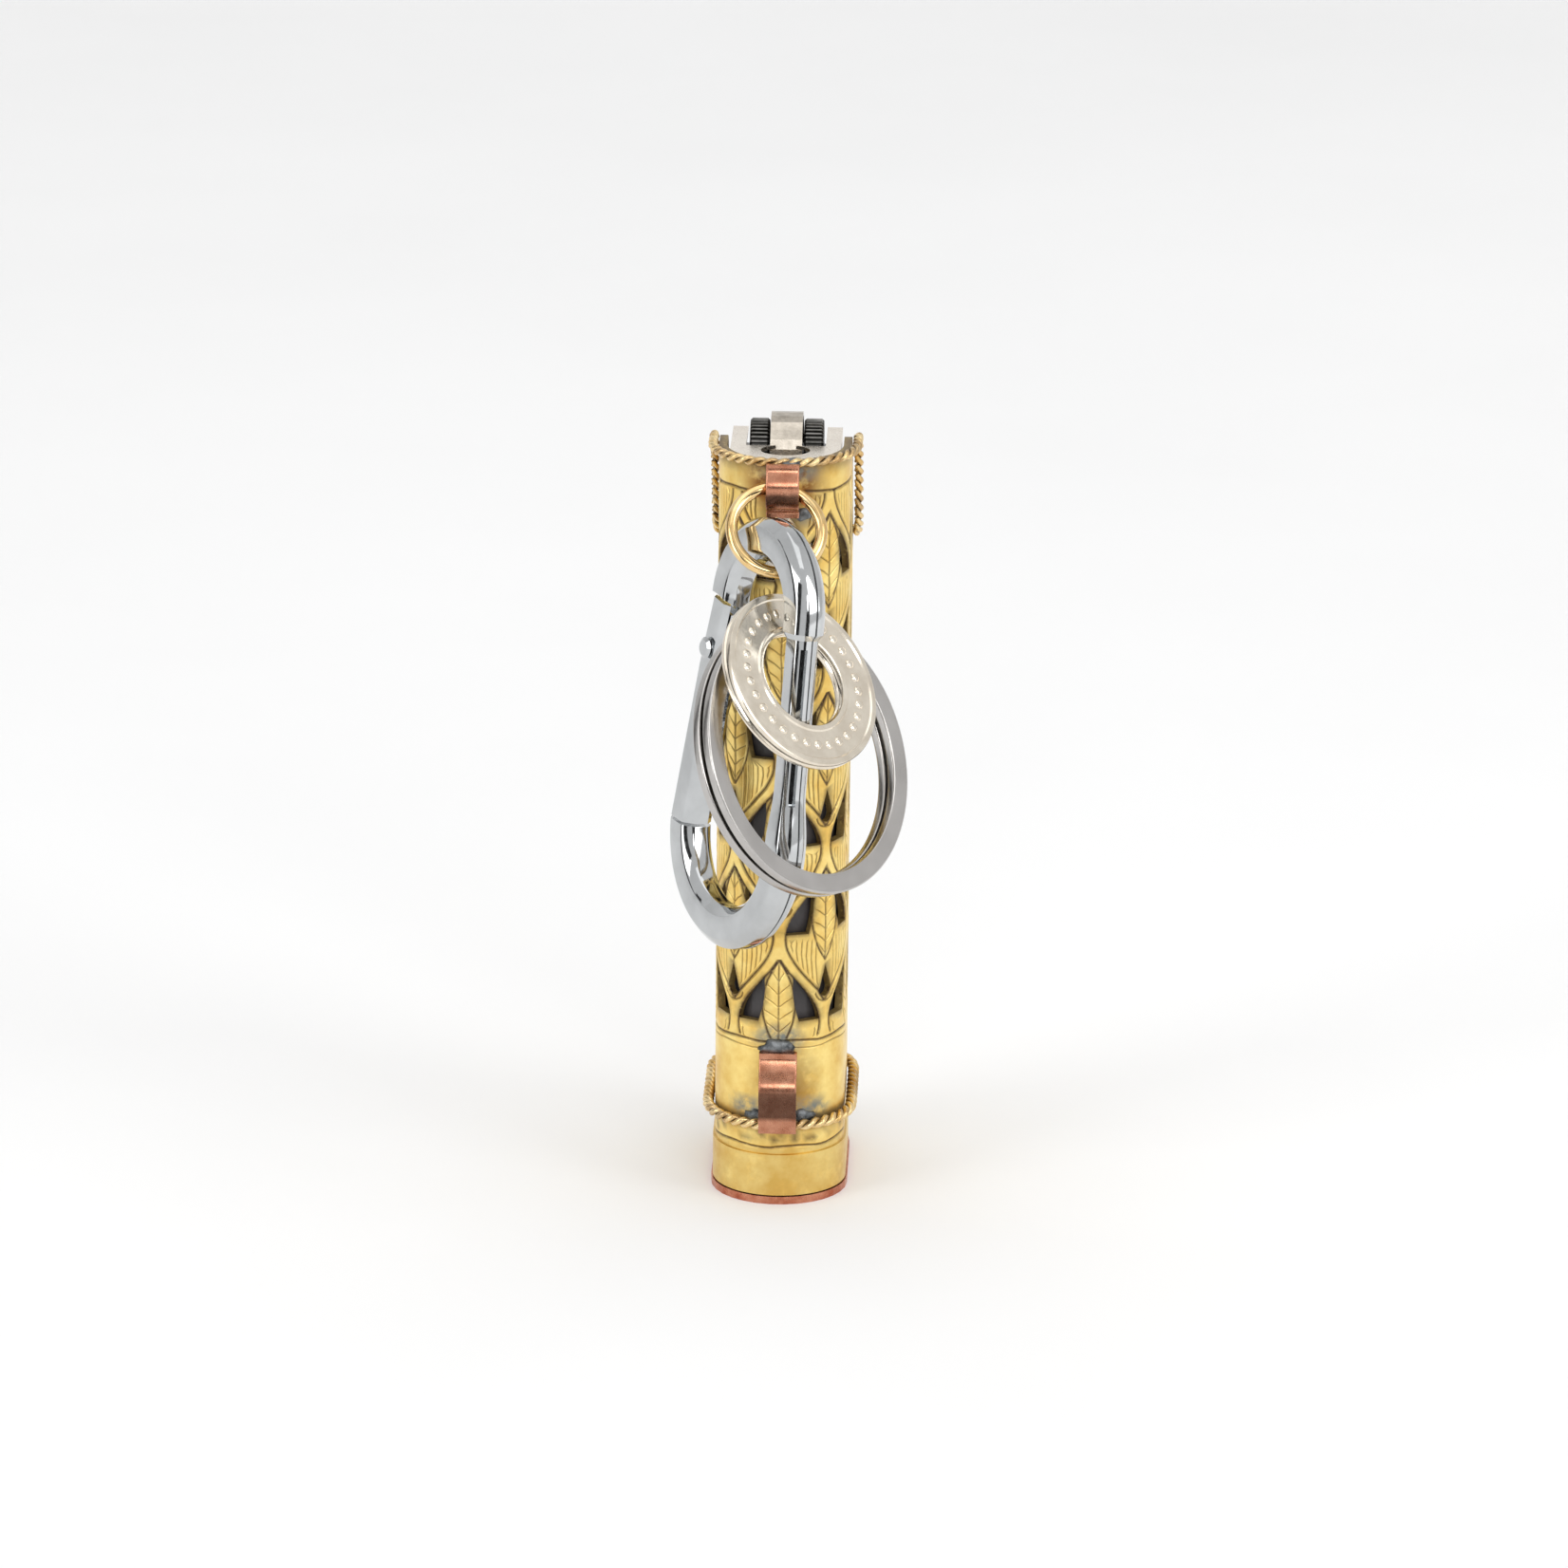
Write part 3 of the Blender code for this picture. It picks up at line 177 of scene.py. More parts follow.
def cell_lines():
    """Engraved lines of a cell, each with its width: stems' edges, leaf, veins and hatching."""
    leaf_tip = 6.9
    leaf_tall = 9.6
    leaf_half = 1.7
    cup_radius = 1.3
    cup_middle = -5.8
    along_stem = [-7.0 + 14.0 * i / 22 for i in range(23)]
    cut_lines = []
    for side in (1, -1):
        cut_lines.append((STEM_CUT, [(side * (stem(z) - HALF_STEM), z) for z in along_stem]))
        cut_lines.append((LEAF_CUT, [(side * leaf_half * math.sin(math.pi * i / 14) ** 0.85,
                                      leaf_tip - leaf_tall * i / 14) for i in range(15)]))
        for i in range(6):
            foot = -2.1 + 1.35 * i
            swell = math.sin(math.pi * (leaf_tip - foot - 1.0) / leaf_tall)
            cut_lines.append((HATCH_CUT, [(0, foot), (side * 0.7 * swell, foot + 0.55),
                                          (side * 1.45 * swell, foot + 1.0)]))
        for i in range(6):
            x = 1.15 + 0.55 * i
            reach = CELL * math.acos(min((x + 0.95) / (COLUMN / 4) - 1, 1)) / (2 * math.pi)
            if reach > 1.0:
                cut_lines.append((HATCH_CUT, [(side * x, -0.5), (side * (x + 0.05), -reach / 2),
                                              (side * (x - 0.1), 0.2 - reach)]))
    cut_lines.append((VEIN_CUT, [(0, -2.7 + 9.2 * i / 8) for i in range(9)]))
    cup = [math.radians(-165 + 150 * i / 8) for i in range(9)]
    cut_lines.append((VEIN_CUT, [(cup_radius * math.cos(a), cup_middle + cup_radius * math.sin(a))
                                 for a in cup]))
    return cut_lines


def is_clear(x, z):
    """Whether an engraved line may run here: above the foot border, below the rim, off the eye."""
    beside_eye = abs(x) < LINE_TO_EYE[0] and abs(z - EYE_HEIGHT) < LINE_TO_EYE[1]
    return LATTICE_FOOT + LINE_TO_FOOT < z < rim(x) - LINE_TO_RIM and not beside_eye


eye_turn = [math.pi * i / 14 for i in range(28)]
windows = [[(EYE_HALF_WIDTH * math.cos(a), EYE_HEIGHT + EYE_HALF_TALL * math.sin(a)) for a in eye_turn]]
lines = []
for half_row in range(-1, 8):
    for number in range(-3, 4):
        middle = COLUMN * (number + 0.5 * (half_row % 2))
        height = LATTICE_FOOT + CELL * half_row / 2
        if middle < -SEAM - 1e-6:
            continue
        top = rim(middle) - WINDOW_TO_RIM
        for outline in cell_windows():
            high = height + max(z for _, z in outline)
            low = height + min(z for _, z in outline)
            at_eye = abs(middle) < COLUMN / 2 and high > EYE_HEIGHT - EYE_HALF_TALL - WINDOW_TO_EYE
            if low >= LATTICE_FOOT + WINDOW_TO_FOOT and high <= top and not at_eye:
                windows.append([(middle + x, height + z) for x, z in outline])
        for width, line in cell_lines():
            kept = [(middle + x, height + z) for x, z in line if is_clear(middle + x, height + z)]
            length = sum(math.dist(a, b) for a, b in zip(kept, kept[1:]))
            if len(kept) == len(line) or length > LEAST_LINE:
                lines.append((width, kept))
steps = [-SEAM + AROUND * i / 90 for i in range(91)]
lines.append((0.24, [(s, rim(s) - 3.3 + 0.12 * math.sin(0.8 * s)) for s in steps]))
lines.append((0.22, [(s, LATTICE_FOOT - 1.7 + 0.1 * math.sin(s)) for s in steps]))
lines.append((HATCH_CUT, [(s, LATTICE_FOOT - 2.4 + 0.1 * math.sin(s + 1)) for s in steps]))
lines.append((LEAF_CUT, [(s, 6.1 + 0.12 * math.sin(0.9 * s)) for s in steps]))


# The flat sheet: its border, windows and lines are laid out as edges, and fine triangles fill
# the metal between them, so that each cut is modelled.
def wavered(line, seed):
    """A line as a hand cuts it, a little off its mark."""
    drift = 0.07
    return [(x + drift * noise.noise((x * 0.9, z * 0.9, seed)),
             z + drift * noise.noise((x * 0.9, z * 0.9, seed + 9))) for x, z in line]


def beside(line, gap):
    """The line moved sideways by a gap."""
    moved = []
    for i, (x, z) in enumerate(line):
        before = Vector(line[max(i - 1, 0)])
        after = Vector(line[min(i + 1, len(line) - 1)])
        along = (after - before).normalized()
        moved.append((x - along.y * gap, z + along.x * gap))
    return moved


places = []
edges = []
outlines = []


def lay(points, loop=False):
    """Add points to the flat sheet, joined by edges that its triangles must keep."""
    first = len(places)
    places.extend(points)
    last = len(places) - 1
    edges.extend((i, i + 1) for i in range(first, last))
    if loop:
        edges.append((last, first))
        outlines.append(list(range(first, last + 1)))


side_rise = [SHEET_FOOT + (rim(SEAM) - SHEET_FOOT) * i / 90 for i in range(91)]
border = [(s, SHEET_FOOT) for s in steps]
border += [(SEAM, z) for z in side_rise[1:]]
border += [(s, rim(s)) for s in steps[::-1][1:]]
border += [(-SEAM, z) for z in side_rise[::-1][1:-1]]
lay(border, loop=True)
for outline in windows:
    if sum(a[0] * b[1] - b[0] * a[1] for a, b in zip(outline, outline[1:] + outline[:1])) < 0:
        outline.reverse()
    lay(outline, loop=True)
    for shift in (-AROUND, AROUND):
        if any(abs(x + shift) < SEAM for x, _ in outline):
            lay([(x + shift, z) for x, z in outline], loop=True)
grooves = []
for index, (width, line) in enumerate(lines):
    seed = index * 1.7
    drawn = wavered(line, seed)
    for shift in (-AROUND, 0, AROUND):
        copy = [(x + shift, z) for x, z in drawn]
        if any(abs(x) < SEAM for x, _ in copy):
            lay(copy)
            lay(beside(copy, width))
            lay(beside(copy, -width))
            grooves += [(width, a, b) for a, b in zip(copy, copy[1:])]
lay([(s, BAND_TOP) for s in steps])
lay([(s, BAND_TOP + 0.06) for s in steps])


def nearest(points, segments, apart=0.05):
    """For each point, its distance to the nearest of the segments and that one's number."""
    samples = []
    for k, (a, b) in enumerate(segments):
        count = max(1, math.ceil(math.dist(a, b) / apart))
        samples += [(Vector((*a, 0)).lerp(Vector((*b, 0)), i / count), k) for i in range(count + 1)]
    tree = kdtree.KDTree(len(samples))
    for place, k in samples:
        tree.insert(place, k)
    tree.balance()
    found = [tree.find((x, z, 0)) for x, z in points]
    return np.array([gap for _, _, gap in found]), np.array([k for _, k, _ in found])


SPACING = 0.7
cut_edges = [(outline[i - 1], outline[i]) for outline in windows for i in range(len(outline))]
cut_edges += [((a[0] + shift, a[1]), (b[0] + shift, b[1]))
              for a, b in cut_edges for shift in (-AROUND, AROUND)]
groove_edges = [(a, b) for _, a, b in grooves]
groove_widths = np.array([width for width, _, _ in grooves])
grid = np.array([(-SEAM + AROUND * (i + 0.5) / 88, SHEET_FOOT + 0.35 + SPACING * j)
                 for i in range(88) for j in range(110)])
grid = grid[grid[:, 1] < np.array([rim(s) for s in grid[:, 0]]) - 0.3]
grid = grid[(nearest(grid, groove_edges)[0] > 0.4) & (nearest(grid, cut_edges)[0] > 0.3)]
grid = grid[np.abs(grid[:, 1] - BAND_TOP) > 0.2]
places += [tuple(point) for point in grid]
flat = geometry.delaunay_2d_cdt([Vector(p) for p in places], edges, outlines, 1, 1e-5)
flat_places = np.array([tuple(p) for p in flat[0]])
flat_heights = flat_places[:, 1]
metal_faces = [face for face, origin in zip(flat[2], flat[5]) if list(origin) == [0]]
groove_gap, which = nearest(flat_places, groove_edges)
window_gap = nearest(flat_places, cut_edges)[0]
depths = np.clip(1 - groove_gap / groove_widths[which], 0, 1)
depths *= np.clip(groove_widths[which] / 0.24, 0, 1)


# Its stains and darkening: patina in the cuts, darker along the window edges, just under the rim
# and round the foot wire, brown smoke from the torch round the straps, the eye and the foot, and
# grey tin where solder ran.
def near(s, z, s_at, z_at, s_reach, z_reach):
    """How much a spot lies within a soft-edged patch, from 1 in its middle to 0."""
    return max(0.0, 1 - math.hypot((s - s_at) / s_reach, (z - z_at) / z_reach))


TIN_PATCHES = ((0, 17.8, 3.4, 2.0), (-3.2, 10.0, 2.8, 1.7), (3.4, 10.0, 3.0, 1.7),
               (0.6, 77.6, 4.2, 1.4), (2.2, 73.0, 2.0, 1.5))
rim_gap = np.array([rim(s) - z for s, z in flat_places])
smoke = []
tinned = []
for (s, z), below_rim in zip(flat_places, rim_gap):
    under_rim = 0.55 * max(0.0, 1 - abs(below_rim - 0.6) / 1.6)
    under_wire = 0.5 * max(0.0, 1 - abs(z - 8.4) / 1.7)
    strap_heat = 1.9 * near(s, z, 0, 76.4, 5.6, 4.4)
    foot_heat = 1.0 * near(s, z, 0.8, 12.0, 4.6, 6.8)
    eye_heat = 0.9 * near(s, z, 0, EYE_HEIGHT, 3.2, 4.8)
    band_heat = 0.2 if z < 6.0 else 0.0
    smoke.append(min(1.0, max(under_rim, under_wire, strap_heat, foot_heat, eye_heat, band_heat)))
    tinned.append(min(1.0, 1.7 * max(near(s, z, *patch) for patch in TIN_PATCHES)))
strokes = np.array([noise.noise((s * 1.3, z * 0.8, 5.0)) for s, z in flat_places])
strokes *= np.clip(1 - np.abs(flat_heights - 7.4) / 1.1, 0, 1)
patina_and_shade = np.clip(np.maximum(depths * 1.25, 0.75 * (1 - window_gap / 0.5)), 0, 1)
for darkness in (np.clip(1.1 - rim_gap / 1.2, 0, 0.9),
                 np.clip(1.0 - np.abs(flat_heights - FOOT_WIRE_HEIGHT) / 0.9, 0, 0.9),
                 np.clip(2.6 * strokes, 0, 0.75)):
    patina_and_shade = np.maximum(patina_and_shade, darkness)


# The bent wall: the engraved face outside, a plain face inside, and walls along every sawn edge.
bent = []
inside = []
for (s, z), depth in zip(flat_places, depths):
    proud = BAND_PROUD if z <= BAND_TOP + 0.01 else 0.0
    for layer, out in ((bent, proud - CUT_DEPTH * depth), (inside, -WALL)):
        place = oval(on_sheet(s), out)[0]
        layer.append((place.x, place.y, z))
sheet = bpy.data.meshes.new("sheet")
sheet.from_pydata(bent, [], metal_faces)
stains = {"patina_and_shade": patina_and_shade, "smoke": smoke, "tinned": tinned}
for name, values in stains.items():
    sheet.attributes.new(name, "FLOAT", "POINT").data.foreach_set("value", values)
sheet.attributes.new("inside", "FLOAT_VECTOR", "POINT").data.foreach_set("vector", np.ravel(inside))
shape = bmesh.new()
shape.from_mesh(sheet)
bmesh.ops.delete(shape, geom=[v for v in shape.verts if not v.link_faces], context="VERTS")
bmesh.ops.remove_doubles(shape, verts=shape.verts, dist=0.002)
bmesh.ops.recalc_face_normals(shape, faces=shape.faces)
shape.to_mesh(sheet)
shape.free()
count = len(sheet.vertices)
outer_faces = [tuple(polygon.vertices) for polygon in sheet.polygons]
inner_faces = [tuple(i + count for i in face[::-1]) for face in outer_faces]
open_edges = {}
for face in outer_faces:
    for edge in zip(face, face[1:] + face[:1]):
        key = frozenset(edge)
        open_edges[key] = None if key in open_edges else edge
walls = [(b, a, a + count, b + count) for a, b in filter(None, open_edges.values())]
outer_points = [v.co[:] for v in sheet.vertices]
inner_points = [v.vector[:] for v in sheet.attributes["inside"].data]
sleeve = bpy.data.meshes.new("pierced sleeve")
sleeve.from_pydata(outer_points + inner_points, [], outer_faces + inner_faces + walls)
# The inside face is painted dark all over.
INNER_DARKENING = 0.8
for name in stains:
    outer_values = [v.value for v in sheet.attributes[name].data]
    inner_values = [INNER_DARKENING if name == "patina_and_shade" else 0.0] * count
    sleeve.attributes.new(name, "FLOAT", "POINT").data.foreach_set("value", outer_values + inner_values)


def colour(code):
    """A linear colour from an sRGB hex code."""
    shares = [int(code[i:i + 2], 16) / 255 for i in (1, 3, 5)]
    return [s / 12.92 if s <= 0.04045 else ((s + 0.055) / 1.055) ** 2.4 for s in shares] + [1]


class Finish:
    """One material and its nodes."""

    def __init__(self, name):
        self.material = bpy.data.materials.new(name)
        self.material.use_nodes = True
        self.tree = self.material.node_tree
        self.shader = self.tree.nodes["Principled BSDF"]
        self.place = self.add("TexCoord", out="Object")

    def feed(self, socket, value):
        """Link an output to a socket, or set the socket to a value."""
        if hasattr(value, "is_output"):
            self.tree.links.new(value, socket)
        else:
            socket.default_value = value

    def add(self, kind, settings=(), out=0, **inputs):
        """Add a node with its settings, feed its inputs by name or _number, and give an output."""
        node = self.tree.nodes.new("ShaderNode" + kind)
        for key, value in dict(settings).items():
            setattr(node, key, value)
        for name, value in inputs.items():
            self.feed(node.inputs[int(name[1:])] if name[0] == "_" else node.inputs[name], value)
        return node.outputs[out]

    def mottle(self, size_mm, detail=4.0, low=0.35, high=0.65, stretch=(1, 1, 1)):
        """A mottled pattern with patches of a size in millimetres, spread from 0 to 1."""
        spread = self.add("Mapping", _0=self.place, Scale=stretch)
        cloud = self.add("TexNoise", _0=spread, Scale=1000 / size_mm, Detail=detail, Roughness=0.6)
        return self.add("MapRange", _0=cloud, _1=low, _2=high)

    def finish(self, tone, rough, metallic=1.0, relief=None, relief_mm=0.0):
        """Feed the shader, with relief of a height in millimetres where there is any."""
        self.feed(self.shader.inputs["Base Color"], tone)
        self.feed(self.shader.inputs["Roughness"], rough)
        self.feed(self.shader.inputs["Metallic"], metallic)
        if relief is not None:
            normal = self.add("Bump", Height=relief, Strength=1.0, Distance=relief_mm / 1000)
            self.feed(self.shader.inputs["Normal"], normal)
        return self.material


# A Mix node takes its two colours at its sockets 6 and 7, and gives the mixed one at output 2.
RGB = {"data_type": "RGBA"}
ADD = {"operation": "ADD", "use_clamp": True}
MULTIPLY = {"operation": "MULTIPLY", "use_clamp": True}
TIN_GREY = "#84867F"


def patinated_brass(name, bright, warm, smoked, dark, rough):
    """Brass rubbed bright, with warm clouds, brown smoke, grey tin, and dull dark patina and painted shade
    on top.
    """
    brass = Finish(name)
    grain = brass.mottle(0.35, 3.0, 0.2, 0.8)
    tone = brass.add("Mix", RGB, 2, _0=brass.mottle(3.5, 5.0), _6=colour(bright), _7=colour(warm))
    # The last layer mixes in patina and, on the twisted wire, painted shade.
    for stain_and_shade, pattern, least, code in (("smoke", brass.mottle(1.6, 5.0, 0.3, 0.6), 0.35, smoked),
                                        ("tinned", brass.mottle(0.9), 0.25, TIN_GREY),
                                        ("patina_and_shade", grain, 0.55, dark)):
        painted = brass.add("Attribute", {"attribute_name": stain_and_shade}, "Fac")
        share = brass.add("Math", MULTIPLY, _0=painted, _1=brass.add("Math", ADD, _0=pattern, _1=least))
        tone = brass.add("Mix", RGB, 2, _0=share, _6=tone, _7=colour(code))
    dull = brass.add("Math", ADD, _0=grain, _1=share)
    polish = brass.add("MapRange", _0=dull, _3=rough, _4=rough + 0.2)
    metallic = brass.add("MapRange", _0=share, _3=1.0, _4=0.3)
    # Real scratches are finer. These are as fine as the render shows, and run up the sleeve.
    scratches = brass.mottle(0.25, 2.0, 0.0, 1.0, (1, 1, 0.3))
    return brass.finish(tone, polish, metallic, scratches, 0.004)


def outward(mesh):
    """The mesh with its faces turned to look outward."""
    shape = bmesh.new()
    shape.from_mesh(mesh)
    bmesh.ops.recalc_face_normals(shape, faces=shape.faces)
    shape.to_mesh(mesh)
    shape.free()
    return mesh


def show(name, mesh, material, body, replaced=(), angle=30.0, at=None):
    """Put a mesh drawn in millimetres on a moving body, in place of the solids that it stands for."""
    if at is not None:
        mesh.transform(at)
    outward(mesh)
    mesh.transform(Matrix.Scale(0.001, 4))
    mesh.materials.clear()
    mesh.materials.append(material)
    mesh.shade_smooth()
    mesh.set_sharp_from_angle(angle=math.radians(angle))
    item = bpy.data.objects.new(name, mesh)
    bpy.context.scene.collection.objects.link(item)
    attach(item, body)
    if replaced:
        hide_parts(*replaced)


# Engraved brass: pale gold where it is rubbed, amber in clouds, and brown-black in its cuts, so
# that the pattern reads from a distance.
ENGRAVED = patinated_brass("engraved brass", "#FDE392", "#EAC268", "#83562F", "#46301A", 0.25)
show("engraved_sleeve", sleeve, ENGRAVED, "case", ["case_sleeve"], 24)


# Base: a plate of copper sheet soldered under the sleeve, a little proud of it all round.
def worn_metal(name, bright, dull, size_mm, rough, worn_rough, relief_mm=0.0):
    """Metal in two near tones, darkened by dirt and painted shade where they are stored, and a polish that
    varies finely.
    """
    metal = Finish(name)
    dirt_and_shade = metal.add("Attribute", {"attribute_name": "patina_and_shade"}, "Fac")
    tone = metal.add("Mix", RGB, 2, _0=metal.mottle(size_mm), _6=colour(bright), _7=colour(dull))
    # The stored dirt and painted shade mix in a near-black.
    tone = metal.add("Mix", RGB, 2, _0=dirt_and_shade, _6=tone, _7=colour("#1B1917"))
    # The grain of the polish, drawn coarser than the real one so that it shows.
    fine = metal.mottle(size_mm / 8, 3.0, 0.3, 0.7)
    polish = metal.add("MapRange", _0=fine, _3=rough, _4=worn_rough)
    return metal.finish(tone, polish, 1.0, fine if relief_mm else None, relief_mm)


def keep_solid(name, material, bevel_mm=0.0, angle=30.0):
    """Show a solid as it is, with its material, smooth shading and a small bevel."""
    item = nodes[name]
    item.data.materials.clear()
    item.data.materials.append(material)
    item.data.shade_smooth()
    item.data.set_sharp_from_angle(angle=math.radians(angle))
    if bevel_mm:
        bevel = item.modifiers.new("edge", "BEVEL")
        bevel.width = bevel_mm / 1000
        bevel.segments = 2
        bevel.limit_method = "ANGLE"
        bevel.angle_limit = math.radians(angle)
        bevel.harden_normals = True


# Copper: a pinkish plate with a soft polish, redder in patches where it has tarnished.
COPPER = worn_metal("copper plate", "#D09076", "#B1644B", 1.5, 0.22, 0.4)
keep_solid("base_plate", COPPER, 0.15)


# Twisted wires: two brass strands laid together, soldered round the sleeve at its edge and
# above its foot. The valleys between the strands are painted dark, as patina and painted shade.
RIM_WIRE = 1.0
FOOT_WIRE = 1.2
TWIST_PITCH = 2.5
SOLDER_FILM = 0.1
WIRE_END = 0.3


def loft(rings, closed=False):
    """A skin over rings of points, capped at its ends unless it closes on itself."""
    count = len(rings[0])
    points = [tuple(point) for ring in rings for point in ring]
    faces = []
    for i in range(len(rings) if closed else len(rings) - 1):
        a = i * count
        b = (i + 1) % len(rings) * count
        faces += [(a + k, a + (k + 1) % count, b + (k + 1) % count, b + k) for k in range(count)]
    if not closed:
        faces += [tuple(range(count))[::-1], tuple(range(len(points) - count, len(points)))]
    mesh = bpy.data.meshes.new("loft")
    mesh.from_pydata(points, [], faces)
    return mesh


def tangents(points):
    """Unit direction of travel at each point of a line."""
    last = len(points) - 1
    around = [(points[max(i - 1, 0)], points[min(i + 1, last)]) for i in range(last + 1)]
    return [(Vector(after) - Vector(before)).normalized() for before, after in around]


def tube(points, radius, sides=12, up=Vector((0, 0, 1))):
    """Round wire along a line of points."""
    turn = [2 * math.pi * k / sides for k in range(sides)]
    rings = []
    for point, along in zip(points, tangents(points)):
        side = along.cross(up).normalized()
        over = side.cross(along)
        rings.append([Vector(point) + (side * math.cos(a) + over * math.sin(a)) * radius for a in turn])
    return loft(rings)


def joined(meshes):
    """Several meshes as one."""
    shape = bmesh.new()
    for mesh in meshes:
        shape.from_mesh(mesh)
    whole = bpy.data.meshes.new("joined")
    shape.to_mesh(whole)
    shape.free()
    return whole


def paint_points(mesh, name, value_at):
    """Store a value on each point of a mesh, found from its place."""
    layer = mesh.attributes.new(name, "FLOAT", "POINT")
    layer.data.foreach_set("value", [value_at(v.co) for v in mesh.vertices])


def twisted(diameter, height_at, seed):
    """Two strands that turn about each other round the case, at a height found from the depth."""
    count = 420
    centre = []
    for i in range(count + 1):
        run = -SEAM + WIRE_END + (AROUND - 2 * WIRE_END) * i / count
        point = oval(run, diameter / 2 + SOLDER_FILM)[0]
        centre.append(Vector((point.x, point.y, height_at(point.y))))
    length = 0.0
    strands = [[], []]
    for i, (point, along) in enumerate(zip(centre, tangents(centre))):
        length += (point - centre[i - 1]).length if i else 0.0
        side = along.cross(Vector((0, 0, 1))).normalized()
        over = side.cross(along)
        turn = 2 * math.pi * length / TWIST_PITCH + 0.5 * noise.noise((length * 0.2, seed, 0))
        for k in (0, 1):
            angle = turn + math.pi * k
            strands[k].append(point + (side * math.cos(angle) + over * math.sin(angle)) * diameter * 0.24)
    wire = joined([tube(strand, diameter * 0.262, 10) for strand in strands])
    middle_line = kdtree.KDTree(len(centre))
    for i, point in enumerate(centre):
        middle_line.insert(point, i)
    middle_line.balance()

    def valley(place):
        return 1 - eased(0.18, 0.33, middle_line.find(place)[2] / diameter)

    def heated(place):
        return 0.5 if noise.noise((place.x * 0.35, place.y * 0.35, place.z * 0.35 + seed)) > 0.1 else 0.1

    # The valleys are painted dark, as patina and painted shade.
    paint_points(wire, "patina_and_shade", valley)
    paint_points(wire, "smoke", heated)
    return wire


# Twisted wire: bright tops on the strands against valleys painted nearly black, as patina and painted
# shade, like a small rope.
TWISTED = patinated_brass("twisted brass wire", "#FFE8B4", "#DDB46C", "#7A4A28", "#1C120B", 0.2)
show("rim_wire", twisted(RIM_WIRE, edge_height, 3.0), TWISTED, "case", ["rim_twist_wire"], 50)
show("foot_wire", twisted(FOOT_WIRE, lambda y: FOOT_WIRE_HEIGHT, 8.0), TWISTED, "case",
     ["foot_twist_wire"], 50)


# Straps: copper strip bent over each wire and soldered down, the upper one to hold the jump
# ring. A profile gives how far each point is from the sleeve and its share of the way down.
STRAP_SHEET = 0.7
FACE = -DEPTH / 2 - SOLDER_FILM - STRAP_SHEET / 2
UPPER_TOP = RIM_HIGH + 0.1
UPPER_TALL = 4.9
UPPER_REACH = 1.9
UPPER_WIDTH = 3.3
LOWER_TOP = 16.5
LOWER_FOOT = FOOT_WIRE_HEIGHT - FOOT_WIRE / 4
LOWER_REACH = 1.6
LOWER_WIDTH = 3.85


def rounded(outline, radius, count=3):
    """An outline with its corners rounded."""
    points = []
    for i, corner in enumerate(outline):
        corner = Vector(corner)
        before = Vector(outline[i - 1]) - corner
        after = Vector(outline[(i + 1) % len(outline)]) - corner
        reach = min(radius, before.length * 0.45, after.length * 0.45)
        first = corner + before.normalized() * reach
        last = corner + after.normalized() * reach
        for k in range(count + 1):
            t = k / count
            points.append(tuple(first * (1 - t) ** 2 + corner * 2 * t * (1 - t) + last * t * t))
    return points


def bar(across, thick, corner, count=3):
    """Outline of a flat bar with rounded corners."""
    a = across / 2
    t = thick / 2
    return rounded([(a, t), (-a, t), (-a, -t), (a, -t)], corner, count)


def strip(profile, top, tall, width):
    """Strip with eased edges along a smooth side profile."""
    shaped = [Vector((FACE - out, top - tall * down)) for out, down in profile]
    last = len(shaped) - 1
    line = []
    for i in range(last):
        a, b, c, d = (shaped[min(max(k, 0), last)] for k in (i - 1, i, i + 1, i + 2))
        for k in range(6):
            t = k / 6
            line.append(0.5 * (2 * b + (c - a) * t + (2 * a - 5 * b + 4 * c - d) * t * t
                               + (3 * b - a - 3 * c + d) * t ** 3))
    line.append(shaped[-1])
    section = bar(width, STRAP_SHEET, 0.18)
    rings = []
    for i, (point, along) in enumerate(zip(line, tangents(line))):
        wave = 1 + 0.025 * noise.noise((0, 0, i * 0.35))
        rings.append([(x * wave, point.x + along.y * t, point.y - along.x * t) for x, t in section])
    return loft(rings)


def shadowed(low, low_full, high_full, high):
    """Darkness painted on a strap's bend, as painted shade and a painted dark reflection: full between two
    heights and soft at its ends.
    """
    return lambda p: 0.75 * eased(low, low_full, p.z) * (1 - eased(high_full, high, p.z))


# Rubbed copper: the same pink as the base but brighter, since the straps are handled.
STRAP = worn_metal("rubbed copper strip", "#CC9276", "#B0745A", 1.4, 0.2, 0.32)
over_rim = RIM_WIRE + SOLDER_FILM
upper = strip([(over_rim, 0), (over_rim + 0.1, 0.15), (UPPER_REACH - 0.1, 0.38), (UPPER_REACH, 0.52),
               (UPPER_REACH - 0.1, 0.68), (UPPER_REACH - 0.5, 0.86), (0.4, 0.98), (0, 1.143)],
              UPPER_TOP, UPPER_TALL, UPPER_WIDTH)
# The underside of the upper strap's loop is painted dark, as painted shade.
paint_points(upper, "patina_and_shade", shadowed(74.2, 75.0, 75.6, 76.3))
show("upper_strap", upper, STRAP, "case", ["upper_strap_loop"], 40)
lower = strip([(0, 0), (0, 0.10), (0.6, 0.24), (LOWER_REACH, 0.4185), (LOWER_REACH, 0.7778),
               (LOWER_REACH - 0.1, 0.90), (FOOT_WIRE + SOLDER_FILM, 1)],
              LOWER_TOP, LOWER_TOP - LOWER_FOOT, LOWER_WIDTH)
# A band down the lower strap's front is painted dark, as a painted dark reflection.
paint_points(lower, "patina_and_shade", shadowed(9.6, 10.2, 12.6, 13.2))
show("lower_strap", lower, STRAP, "case", ["lower_strap_loop"], 40)


